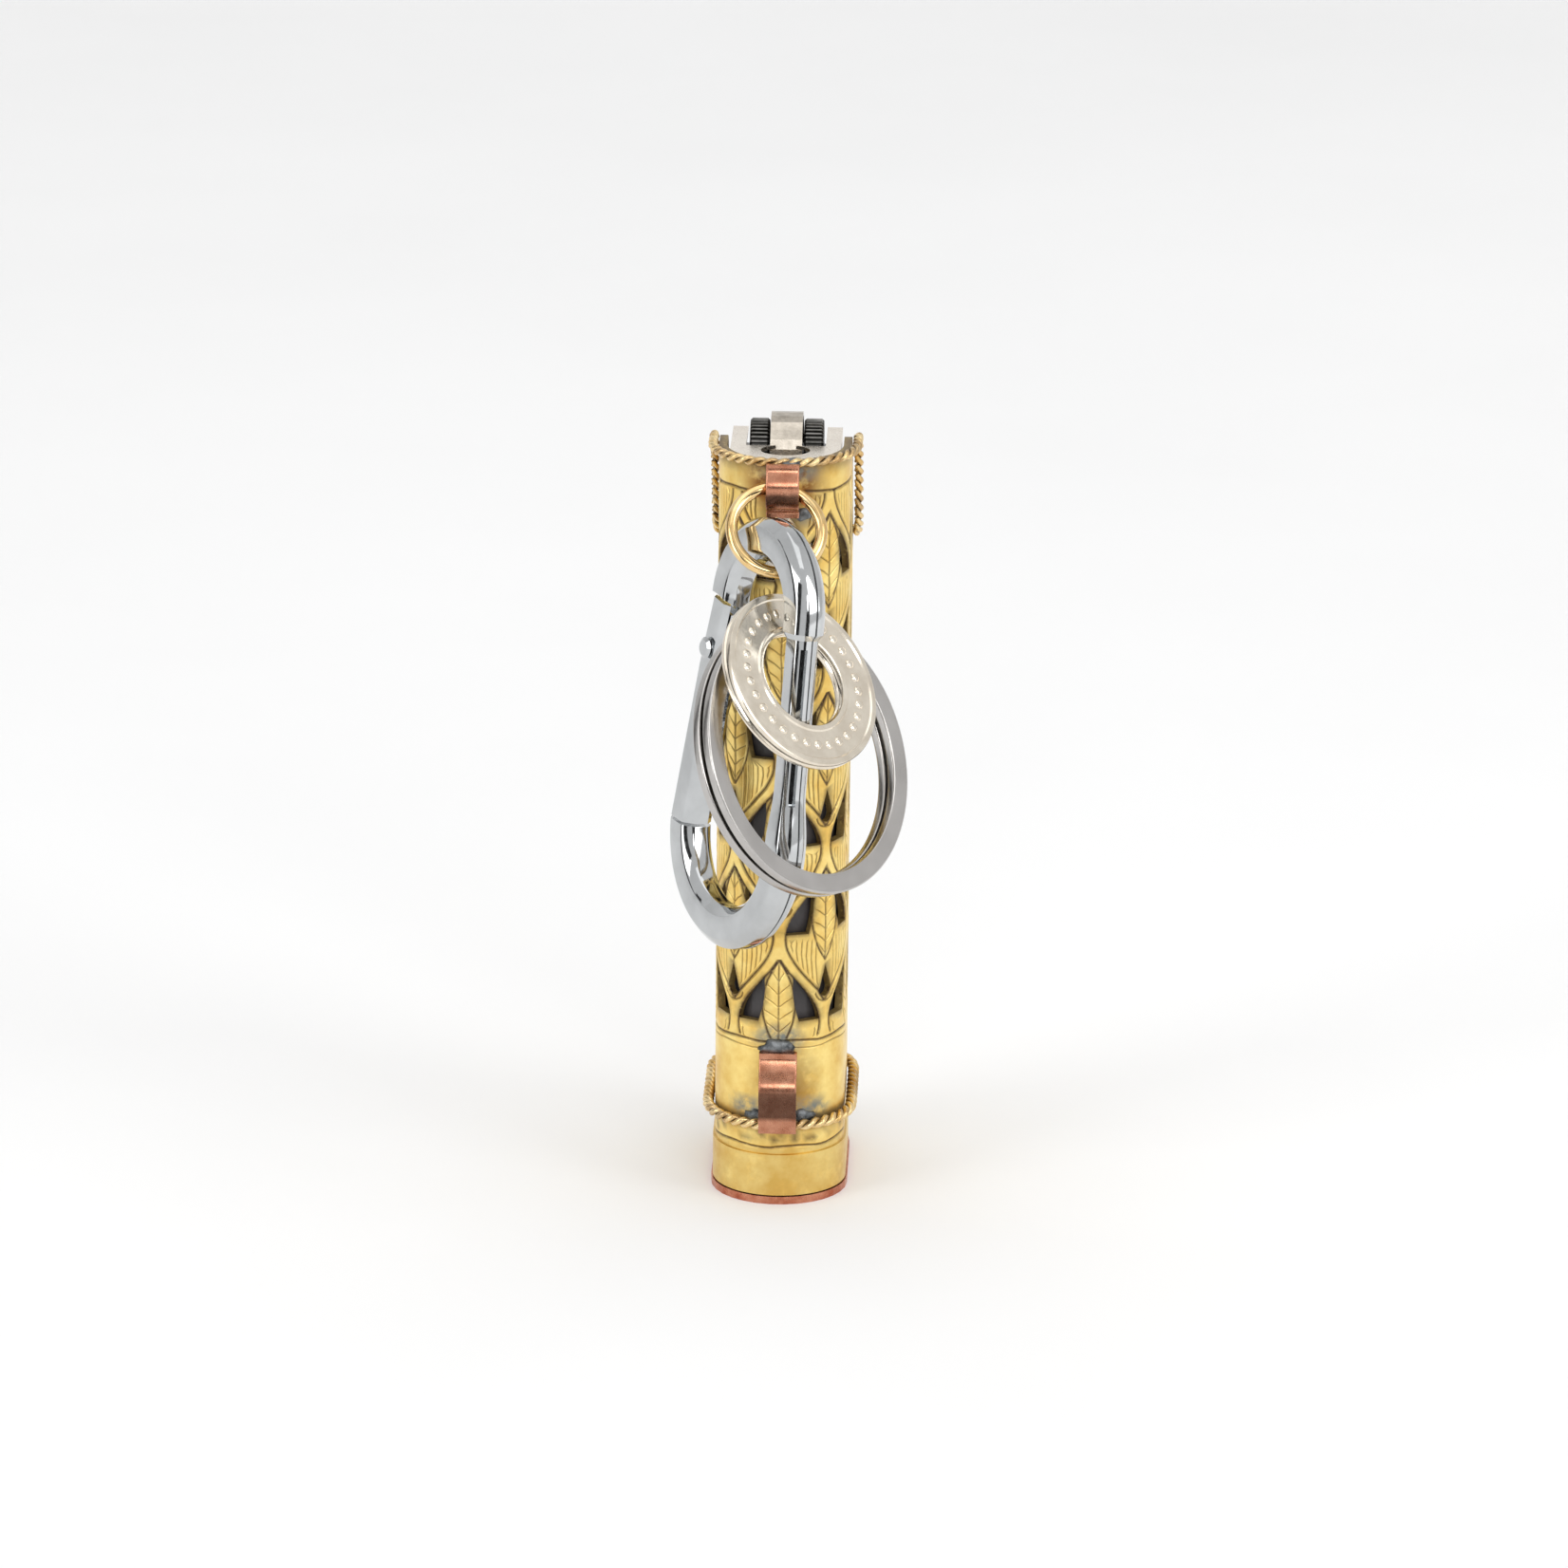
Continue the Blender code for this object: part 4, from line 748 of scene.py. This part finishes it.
# Solder: grey runs of soft solder that spread from under the straps' ends and the foot wire.
# Each has a place round the case, a height, a half width, a half height and how proud it is.
def blob(s, z, wide, tall, proud, seed):
    """A run of solder on the sleeve, thin at its edge."""
    rings = []
    for j in range(9):
        angle = math.pi * j / 8
        rise = proud * math.cos(angle) * (1 if j < 5 else 0.3)
        ring = []
        for k in range(20):
            turn = 2 * math.pi * k / 20
            edge = 1 + 0.5 * noise.noise((math.cos(turn) * 1.3, math.sin(turn) * 1.3, seed))
            reach = max(math.sin(angle), 0.02) * edge
            place, out = oval(s + wide * reach * math.cos(turn), 0)
            ring.append(place + out * rise + Vector((0, 0, z + tall * reach * math.sin(turn))))
        rings.append(ring)
    return loft(rings)


SOLDER_RUNS = ((0, 16.9, 1.9, 0.9, 0.55, 1.0),
               (2.6, 9.1, 1.3, 0.9, 0.5, 2.0),
               (-2.5, 9.3, 1.2, 0.8, 0.45, 3.0),
               (0.6, 78.55, 1.6, 0.4, 1.2, 4.0),
               (2.1, 73.1, 0.9, 0.6, 0.35, 6.0))
# Solder: dull lead grey, darker in patches and slightly lumpy.
SOLDER = worn_metal("grey solder", "#8B8E90", "#494C4E", 0.8, 0.32, 0.55, 0.02)
show("solder_runs", joined([blob(*run) for run in SOLDER_RUNS]), SOLDER, "case", angle=60)


# Tank: the slim moulded body of a disposable lighter, with a plug welded into its floor. It
# slides up out of the sleeve.
def moulded(name, tone, pale, rough):
    """Plastic with a faint scuffing of its gloss."""
    plastic = Finish(name)
    worn_tone = plastic.add("Mix", RGB, 2, _0=plastic.mottle(6.0), _6=colour(tone), _7=colour(pale))
    gloss = plastic.add("MapRange", _0=plastic.mottle(0.5), _3=rough * 0.8, _4=rough * 1.3)
    return plastic.finish(worn_tone, gloss, 0.0)


# Black moulded plastic: a soft dark grey behind the windows, so that the brass stands out.
TANK = moulded("black moulded plastic", "#343132", "#454142", 0.42)
keep_solid("lighter_tank", TANK, 0.15)
keep_solid("tank_base_plug", TANK, 0.15)


# Hood: nickel-plated sheet pressed to a cup over the tank's top, with a round hole for the flame.
# Pressed nickel: warm white, with broad soft reflections and hardly any grain.
HOOD = worn_metal("pressed nickel sheet", "#F2EADD", "#E6DCCF", 2.4, 0.18, 0.32, 0.002)
keep_solid("lighter_hood", HOOD, 0.08)


# Valve: a turned brass nozzle under the flame hole. The lever lifts it to let the gas out.
# Sooted brass: nearly black, with a brown glint where the flame has not reached.
keep_solid("jet_valve", worn_metal("sooted brass", "#3A2F1C", "#211B12", 1.0, 0.4, 0.6))


# Wheels: two steel thumb wheels with fine teeth, the striker wheel between them, and the axle
# that all three turn on, between the cheeks of the lighter.
joints = {joint["name"]: joint for joint in frame["record"]["behaviour"]["joints"]}
WHEEL_RADIUS = 3.3
WHEEL_BORE = 0.95
WHEEL_FACE = 1.95
WHEEL_ASIDE = 2.725
WHEEL_TEETH = 44
TOOTH_DEEP = 0.22
TURNED_EDGE = 0.2


def joint_place(name):
    """Where a joint turns, in millimetres."""
    return Vector(joints[name]["pos_m"]) * 1000


def arc(centre, radius, start, end, count):
    return [(centre[0] + radius * math.cos(start + (end - start) * i / count),
             centre[1] + radius * math.sin(start + (end - start) * i / count)) for i in range(count + 1)]


def circle(radius, count, centre=(0, 0)):
    return arc(centre, radius, 0, 2 * math.pi * (1 - 1 / count), count - 1)


def tooled(mesh, *tools):
    """The mesh after each tool (kind, mesh) has cut it or been added to it."""
    item = bpy.data.objects.new("blank", outward(mesh))
    bpy.context.scene.collection.objects.link(item)
    helpers = []
    for kind, tool in tools:
        helper = bpy.data.objects.new("tool", outward(tool))
        bpy.context.scene.collection.objects.link(helper)
        helpers.append(helper)
        modifier = item.modifiers.new(kind, "BOOLEAN")
        modifier.operation = kind
        modifier.solver = "EXACT"
        modifier.object = helper
    result = bpy.data.meshes.new_from_object(item.evaluated_get(bpy.context.evaluated_depsgraph_get()))
    for helper in helpers + [item]:
        bpy.data.objects.remove(helper)
    return result


def knurled():
    """A wheel with fine teeth along its rim and its edges turned off."""
    turned = []
    for k in range(WHEEL_TEETH):
        for share, drop in ((0, 0), (0.35, 0), (0.5, TOOTH_DEEP), (0.85, TOOTH_DEEP)):
            turned.append((2 * math.pi * (k + share) / WHEEL_TEETH, WHEEL_RADIUS - drop))
    half = WHEEL_FACE / 2
    flat_half = half - TURNED_EDGE
    rings = []
    for x, shrink in ((-half, TURNED_EDGE), (-flat_half, 0), (flat_half, 0), (half, TURNED_EDGE)):
        rings.append([(x, (r - shrink) * math.cos(a), (r - shrink) * math.sin(a)) for a, r in turned])
    bore = [[(x, y, z) for y, z in circle(WHEEL_BORE, 32)] for x in (-WHEEL_FACE, WHEEL_FACE)]
    wheel = tooled(loft(rings), ("DIFFERENCE", loft(bore)))
    root = WHEEL_RADIUS - TOOTH_DEEP
    tip = WHEEL_RADIUS - 0.05
    paint_points(wheel, "patina_and_shade", lambda p: 0.8 * (1 - eased(root, tip, math.hypot(p.y, p.z))))
    return wheel


# Dark knurled steel: grey tips over roots painted darker, which show the teeth as a fine comb.
WHEEL = worn_metal("dark knurled steel", "#858380", "#605F5B", 0.8, 0.32, 0.5)
# Drawn steel: plain pale grey with a satin gleam.
STEEL = worn_metal("drawn steel", "#A9A9AA", "#8F8F90", 2.0, 0.25, 0.40)
for aside, name in ((-WHEEL_ASIDE, "thumb_wheel_left"), (WHEEL_ASIDE, "thumb_wheel_right")):
    show("knurled_" + name, knurled(), WHEEL, "spark_wheel", [name], 25,
         Matrix.Translation(joint_place("spark_wheel_spin") + Vector((aside, 0, 0))))
keep_solid("striker_wheel", WHEEL)
keep_solid("wheel_axle", STEEL, 0.05)


# Flint: a short dark rod in a bore of the tank, pressed up to the striker wheel by a coil spring.
keep_solid("flint", WHEEL)
keep_solid("flint_spring", STEEL)


# Guard: a nickel strip bent over the striker wheel, so that the thumb turns the outer wheels.
# Bent nickel: the hood's nickel painted greyer, as painted shade, with sharp reflections along its bend.
keep_solid("wheel_guard", worn_metal("bent nickel strip", "#CDC4B7", "#AFA79B", 1.2, 0.16, 0.3), 0.06)


# Lever: the thumb piece behind the wheels, moulded in black plastic, which rocks on two pins.
keep_solid("gas_lever", moulded("black lever plastic", "#151515", "#1F1F1F", 0.35), 0.12)


# Jump ring: round brass wire bent to a ring, cut and closed low on its right. It hangs in the
# upper strap and leans out from the sleeve.
RING_RADIUS = 4.5
RING_WIRE = 1.2
RING_LEAN = math.radians(37)
RING_CUT = math.radians(5)
RING_CUT_PLACE = math.radians(52)


def joint_axis(name):
    """The direction that a joint turns about."""
    return Vector(joints[name]["axis"])


ring_side = -joint_axis("jump_ring_swing")
ring_down = Vector((0, -math.sin(RING_LEAN), -math.cos(RING_LEAN)))
ring_middle = joint_place("jump_ring_swing") + ring_down * RING_RADIUS
ring_turns = [RING_CUT_PLACE + RING_CUT / 2 + (2 * math.pi - RING_CUT) * i / 120 for i in range(121)]
ring_line = [ring_middle + (ring_side * math.sin(a) + ring_down * math.cos(a)) * RING_RADIUS
             for a in ring_turns]
# Polished brass: close to a mirror, so it shows pale and dark bands of the room.
POLISHED = worn_metal("polished brass wire", "#F7DAA2", "#E4BC7C", 2.0, 0.05, 0.12)
show("brass_ring", tube(ring_line, RING_WIRE / 2, 24, ring_side.cross(ring_down)), POLISHED,
     "jump_ring", ["jump_ring"], 40)


# Snap hook: a chrome-plated casting with a parting line round its outside, and a shoulder above
# a slimmer grooved spine. It hangs on the jump ring, and is drawn flat in millimetres from the
# inside of its crown.
BAR = 4.2
THICK = 3.4
CHAMFER = 0.9
PARTING_PLACE = -0.25
PARTING_HALF = 0.11
PARTING_DEEP = 0.2
CROWN_RADIUS = 7.1
FOOT_RADIUS = 9.4
HOOK_LENGTH = 43.5
SPINE_TOP = 6.1
SPINE_FOOT = 5.4
SHOULDER_TOP = -5.7
SHOULDER_EDGE = -6.5
SHOULDER_FOOT = -7.1
WAIST_TOP = -7.5
WAIST_FOOT = -22.2
WAIST = 0.78
SPINE_GROOVE_TOP = -8.0
SPINE_GROOVE_TALL = 15.6
SPINE_GROOVE = ((0.75, 0.3), (2.2, 0.3), (2.2, 0.92), (0.75, 0.92))
PIVOT = Vector((-9.7, -9.8))
GATE_LENGTH = 18.1
GATE_HEAD = 5.2
GATE_WIDTH = 3.6
RUNNING_GAP = 0.3
GATE_SWEEP = math.radians(14)
ARM_SHARE = 0.4
NOSE_TALL = 3.0
TONGUE_WIDTH = 3.0
TONGUE_THICK = 1.3
RIVET_BORE = 0.95
LINK_GAP = 0.6
CUT_THROUGH = 10


def axes(right, up, out, place):
    """Where a flat drawing stands: its right, its up, the way it faces and its middle."""
    stand = Matrix.Identity(4)
    for column, axis in enumerate((right, up, out, place)):
        for row in range(3):
            stand[row][column] = axis[row]
    return stand


def prism(outline, thick):
    """A flat outline given thickness to both sides of its plane."""
    return loft([[(x, y, z) for x, y in outline] for z in (-thick / 2, thick / 2)])


crown_middle = (SPINE_TOP - CROWN_RADIUS, BAR / 2 - CROWN_RADIUS)
foot_middle = (SPINE_FOOT - FOOT_RADIUS, 1.5 * BAR - HOOK_LENGTH + FOOT_RADIUS)
spine_lean = (SPINE_TOP - SPINE_FOOT) / (crown_middle[1] - foot_middle[1])


def on_spine(height):
    return SPINE_TOP - spine_lean * (crown_middle[1] - height), height


over = arc(crown_middle, CROWN_RADIUS, math.pi, 0, 48)
under = arc(foot_middle, FOOT_RADIUS, 0, -math.pi, 56)
arm_end = Vector(over[0]) + (PIVOT - Vector(over[0])) * ARM_SHARE
nose_end = (under[-1][0] + 0.4, under[-1][1] + NOSE_TALL)
path = [(tuple(arm_end), 1.0)]
path += [(point, 1.0) for point in over]
path += [(on_spine(SHOULDER_TOP), 1.0), (on_spine(SHOULDER_EDGE), 1.0), (on_spine(SHOULDER_FOOT), WAIST)]
path += [(on_spine(WAIST_TOP + (WAIST_FOOT - WAIST_TOP) * i / 8), WAIST) for i in range(9)]
for i in range(1, 9):
    height = WAIST_FOOT - (WAIST_FOOT - foot_middle[1]) * i / 9
    path.append((on_spine(height), WAIST + (1 - WAIST) * eased(0, 9, i)))
path += [(point, 1.0) for point in under]
path.append((nose_end, 1.0))

half_bar = BAR / 2
half_thick = THICK / 2
bar_section = rounded([(half_bar, half_thick - CHAMFER), (half_bar - CHAMFER, half_thick),
                       (CHAMFER - half_bar, half_thick), (-half_bar, half_thick - CHAMFER),
                       (-half_bar, CHAMFER - half_thick), (CHAMFER - half_bar, -half_thick),
                       (half_bar - CHAMFER, -half_thick), (half_bar, CHAMFER - half_thick)], 0.22, 2)
parting_floor = len(bar_section) + 1
bar_section += [(half_bar, PARTING_PLACE - PARTING_HALF), (half_bar - PARTING_DEEP, PARTING_PLACE),
                (half_bar, PARTING_PLACE + PARTING_HALF)]
hook_rings = []
for (point, size), along in zip(path, tangents([point for point, _ in path])):
    aside = Vector((-along.y, along.x))
    hook_rings.append([(point[0] + aside.x * u * size, point[1] + aside.y * u * size, v * size)
                       for u, v in bar_section])
casting = loft(hook_rings)
# The parting line's floor is painted dark, as painted shade.
casting.attributes.new("patina_and_shade", "FLOAT", "POINT").data.foreach_set(
    "value", [1.0 if i % len(bar_section) == parting_floor else 0.0 for i in range(len(casting.vertices))])

# The room that the gate needs: round its head, and along the sweep of its foot past the nose.
head_room = circle(math.hypot(GATE_HEAD, GATE_WIDTH / 2) + RUNNING_GAP, 96, PIVOT)
nose = Vector((foot_middle[0] - FOOT_RADIUS, foot_middle[1]))
gate_turn = math.atan2(*(nose - PIVOT).yx)
foot_reach = GATE_LENGTH + RUNNING_GAP
foot_room = arc(PIVOT, foot_reach, gate_turn - GATE_SWEEP, gate_turn + GATE_SWEEP, 40)
foot_room += arc(PIVOT, foot_reach * 0.7, gate_turn + GATE_SWEEP, gate_turn - GATE_SWEEP, 10)

# The tongue that the gate's fork straddles, and the groove down the spine's face.
tongue_way = (arm_end - PIVOT).normalized()
tongue_side = Vector((-tongue_way.y, tongue_way.x)) * TONGUE_WIDTH / 2
tongue_base = arm_end + tongue_way * 1.2
tongue_turn = math.atan2(*tongue_side.yx)
tongue = [tuple(tongue_base - tongue_side), tuple(tongue_base + tongue_side)]
tongue += arc(PIVOT, TONGUE_WIDTH / 2, tongue_turn, tongue_turn + math.pi, 20)
groove_line = [on_spine(SPINE_GROOVE_TOP - SPINE_GROOVE_TALL * i / 8) for i in range(9)]
groove = loft([[(x + u, y, v) for u, v in SPINE_GROOVE] for x, y in groove_line])
# The groove's floor is painted dark, as painted shade.
groove.attributes.new("patina_and_shade", "FLOAT", "POINT").data.foreach_set(
    "value", [1.0 if i % 4 in (0, 3) else 0.2 for i in range(len(groove.vertices))])
casting = tooled(casting,
                 ("DIFFERENCE", prism(head_room, CUT_THROUGH)),
                 ("DIFFERENCE", prism(foot_room, CUT_THROUGH)),
                 ("UNION", prism(tongue, TONGUE_THICK)),
                 ("DIFFERENCE", prism(circle(RIVET_BORE, 32, PIVOT), CUT_THROUGH)),
                 ("DIFFERENCE", groove))

hook_up = joint_axis("split_ring_swing")
hook_face = joint_axis("gate_swing")
hook_across = hook_up.cross(hook_face)
crown_inside = (joint_place("snap_hook_swing") + hook_up * (RING_WIRE / 2 + LINK_GAP)
                - hook_across * crown_middle[0])
hook_stand = axes(hook_across, hook_up, hook_face, crown_inside)
# Chrome plate: a cool mirror, with painted shade in its parting line and groove.
CHROME = worn_metal("chrome plate", "#C9CBCC", "#BBBDBE", 5.0, 0.045, 0.12)
show("hook_casting", casting, CHROME, "snap_hook", ["hook_frame"], 22, hook_stand)


# Gate: a plated channel that closes the hook on its left. It turns on a rivet through the hook's
# tongue, and a small coil spring in the channel holds it shut.
keep_solid("gate", CHROME, 0.4)
keep_solid("gate_rivet", CHROME, 0.06)
keep_solid("gate_spring", STEEL)


# Split ring: two turns of flat wire, wound close, with a step where it passes from one to the
# other. It hangs in the foot of the hook.
SPLIT_RADIUS = 13.0
SPLIT_FLAT = 2.0
SPLIT_SHEET = 0.94
SPLIT_PITCH = 1.35
SPLIT_STEP = math.radians(40)
SPLIT_END = math.radians(24)
SPLIT_PLACE = Vector((4.5, -18.9, -1.7))
SPLIT_FACE = Vector((0.909, 0.321, -0.265))


def facing(out, place):
    """Where a drawing stands that faces a direction with its up as steep as it can be."""
    up = (Vector((0, 0, 1)) - out * out.z).normalized()
    return axes(up.cross(out), up, out, place)


split_section = bar(SPLIT_FLAT, SPLIT_SHEET, 0.2)
split_rings = []
for i in range(301):
    turn = SPLIT_END + (4 * math.pi - 2 * SPLIT_END) * i / 300
    share = min(max((turn - 2 * math.pi) / SPLIT_STEP + 0.5, 0), 1)
    rise = SPLIT_PITCH * (share - 0.5)
    out_x = math.sin(turn)
    out_y = math.cos(turn)
    split_rings.append([((SPLIT_RADIUS + u) * out_x, (SPLIT_RADIUS + u) * out_y, rise + v)
                        for u, v in split_section])
split_stand = facing((hook_stand.to_3x3() @ SPLIT_FACE).normalized(), hook_stand @ SPLIT_PLACE)
# Satin nickel: an even soft grey, brushed along the wire so that it has no sharp reflection.
SATIN = worn_metal("satin nickel wire", "#C4C1BE", "#B7B4B1", 5.0, 0.2, 0.27)
show("flat_wire_ring", loft(split_rings), SATIN, "split_ring", ["split_ring"], 35,
     split_stand)


# Tag: two stamped nickel washers back to back on the split ring, with rolled rims, a sunk field
# and a ring of raised beads.
TAG_OUTER = 9.25
TAG_BORE = 4.9
TAG_BACK = 0.05
TAG_FRONT = 0.75
BEADS = 30
BEAD_CIRCLE = 7.05
BEAD_RADIUS = 0.5
BEAD_HIGH = 0.26
BEAD_FOOT = TAG_FRONT - 0.2


def washer():
    """One face of the tag, turned from its profile, with its beads."""
    rim_side = [(-0.15, TAG_BACK), (0, TAG_BACK + 0.15), (0, TAG_FRONT - 0.3), (-0.1, TAG_FRONT - 0.08),
                (-0.3, TAG_FRONT), (-0.65, TAG_FRONT), (-0.8, TAG_FRONT - 0.14)]
    bore_side = [(0.75, TAG_FRONT - 0.14), (0.6, TAG_FRONT), (0.3, TAG_FRONT), (0.1, TAG_FRONT - 0.08),
                 (0, TAG_FRONT - 0.3), (0, TAG_BACK + 0.15), (0.15, TAG_BACK)]
    profile = [(TAG_OUTER + x, z) for x, z in rim_side] + [(TAG_BORE + x, z) for x, z in bore_side]
    turns = [2 * math.pi * k / 144 for k in range(144)]
    rings = [[(r * math.cos(a), r * math.sin(a), z) for r, z in profile] for a in turns]
    pieces = [loft(rings, closed=True)]
    round_bead = [2 * math.pi * i / 24 for i in range(24)]
    for k in range(BEADS):
        dome = []
        for a in [math.radians(15 * j) for j in range(6)]:
            reach = BEAD_RADIUS * math.cos(a)
            rise = BEAD_FOOT + BEAD_HIGH * math.sin(a)
            dome.append([(BEAD_CIRCLE + reach * math.cos(t), reach * math.sin(t), rise)
                         for t in round_bead])
        bead = loft(dome)
        bead.transform(Matrix.Rotation(2 * math.pi * k / BEADS, 4, "Z"))
        pieces.append(bead)
    whole = joined(pieces)
    paint_points(whole, "patina_and_shade", lambda p: 0.9 if TAG_FRONT - 0.24 < p.z < TAG_FRONT - 0.16 else 0.0)
    return whole


tag_stand = facing(joint_axis("tag_turn"), joint_place("tag_turn"))
# Stamped nickel: warm white like the hood, with a dark line round each bead's foot.
TAG = worn_metal("stamped nickel", "#F3EADA", "#E2D7C6", 2.5, 0.12, 0.24)
show("front_washer", washer(), TAG, "tag", ["tag_front"], 30, tag_stand)
show("back_washer", washer(), TAG, "tag", ["tag_back"], 30,
     tag_stand @ Matrix.Rotation(math.pi, 4, "Y"))


# Studio: a white paper sweep, soft light from above, both sides and the front, and black cards
# that only the metal sees, for its dark reflections. This section is in metres.
PAPER_FRONT = -1.5
PAPER_HALF = 3.0
PAPER_TOP = 2.6
SWEEP_FROM = 0.9
SWEEP_RADIUS = 0.5
sweep_turn = [math.pi / 2 * i / 12 for i in range(1, 13)]
paper_line = [(PAPER_FRONT, 0), (SWEEP_FROM, 0)]
paper_line += [(SWEEP_FROM + SWEEP_RADIUS * math.sin(a), SWEEP_RADIUS - SWEEP_RADIUS * math.cos(a))
               for a in sweep_turn]
paper_line.append((SWEEP_FROM + SWEEP_RADIUS, PAPER_TOP))
paper_mesh = bpy.data.meshes.new("paper")
paper_mesh.from_pydata([(x, y, z) for y, z in paper_line for x in (-PAPER_HALF, PAPER_HALF)], [],
                       [(2 * i, 2 * i + 1, 2 * i + 3, 2 * i + 2) for i in range(len(paper_line) - 1)])
paper_mesh.shade_smooth()
# White paper: matt and almost even, so that only shadows show on it.
white = Finish("white paper")
white_tone = white.add("Mix", RGB, 2, _0=white.mottle(200.0),
                       _6=colour("#F6F6F6"), _7=colour("#F3F3F3"))
paper_mesh.materials.append(white.finish(white_tone, 0.9, 0.0))
paper = bpy.data.objects.new("paper", paper_mesh)
bpy.context.scene.collection.objects.link(paper)


def faced(item, place, aim_at):
    """Put a lamp or card at a place, turned to what it aims at."""
    item.location = place
    item.rotation_mode = "QUATERNION"
    item.rotation_quaternion = (Vector(place) - Vector(aim_at)).to_track_quat("Z", "Y")
    bpy.context.scene.collection.objects.link(item)


for name, place, size, power in (("top", (0, -0.1, 1.1), (1.0, 1.0), 2.2),
                                 ("left", (-0.9, -0.7, 0.5), (0.5, 0.9), 3.5),
                                 ("right", (0.9, -0.6, 0.6), (0.5, 0.9), 3.3),
                                 ("front", (0.15, -0.85, 0.45), (0.7, 0.25), 2.3)):
    light = bpy.data.lights.new(name, "AREA")
    light.shape = "RECTANGLE"
    light.size, light.size_y = size
    light.energy = power
    faced(bpy.data.objects.new(name, light), place, (0, 0, 0.04))
world = bpy.data.worlds.new("studio")
bpy.context.scene.world = world
world.use_nodes = True
world.node_tree.nodes["Background"].inputs["Color"].default_value = (1, 1, 1, 1)
world.node_tree.nodes["Background"].inputs["Strength"].default_value = 0.76

# Black card: matt, so that it darkens a reflection and adds none of its own.
black = Finish("black card")
black_tone = black.add("Mix", RGB, 2, _0=black.mottle(20.0),
                       _6=colour("#0A0A0A"), _7=colour("#101010"))
black.finish(black_tone, 0.8, 0.0)
for place, width, height in (((-0.30, -0.42, 0.15), 0.10, 0.6), ((0.36, -0.40, 0.15), 0.10, 0.6),
                             ((-0.42, 0.05, 0.15), 0.10, 0.6), ((0.0, -1.15, 0.30), 0.60, 0.6)):
    card_mesh = bpy.data.meshes.new("card")
    w = width / 2
    h = height / 2
    card_mesh.from_pydata([(-w, -h, 0), (w, -h, 0), (w, h, 0), (-w, h, 0)], [], [(0, 1, 2, 3)])
    card_mesh.materials.append(black.material)
    card = bpy.data.objects.new("card", card_mesh)
    faced(card, place, (0, 0, place[2]))
    card.visible_camera = False
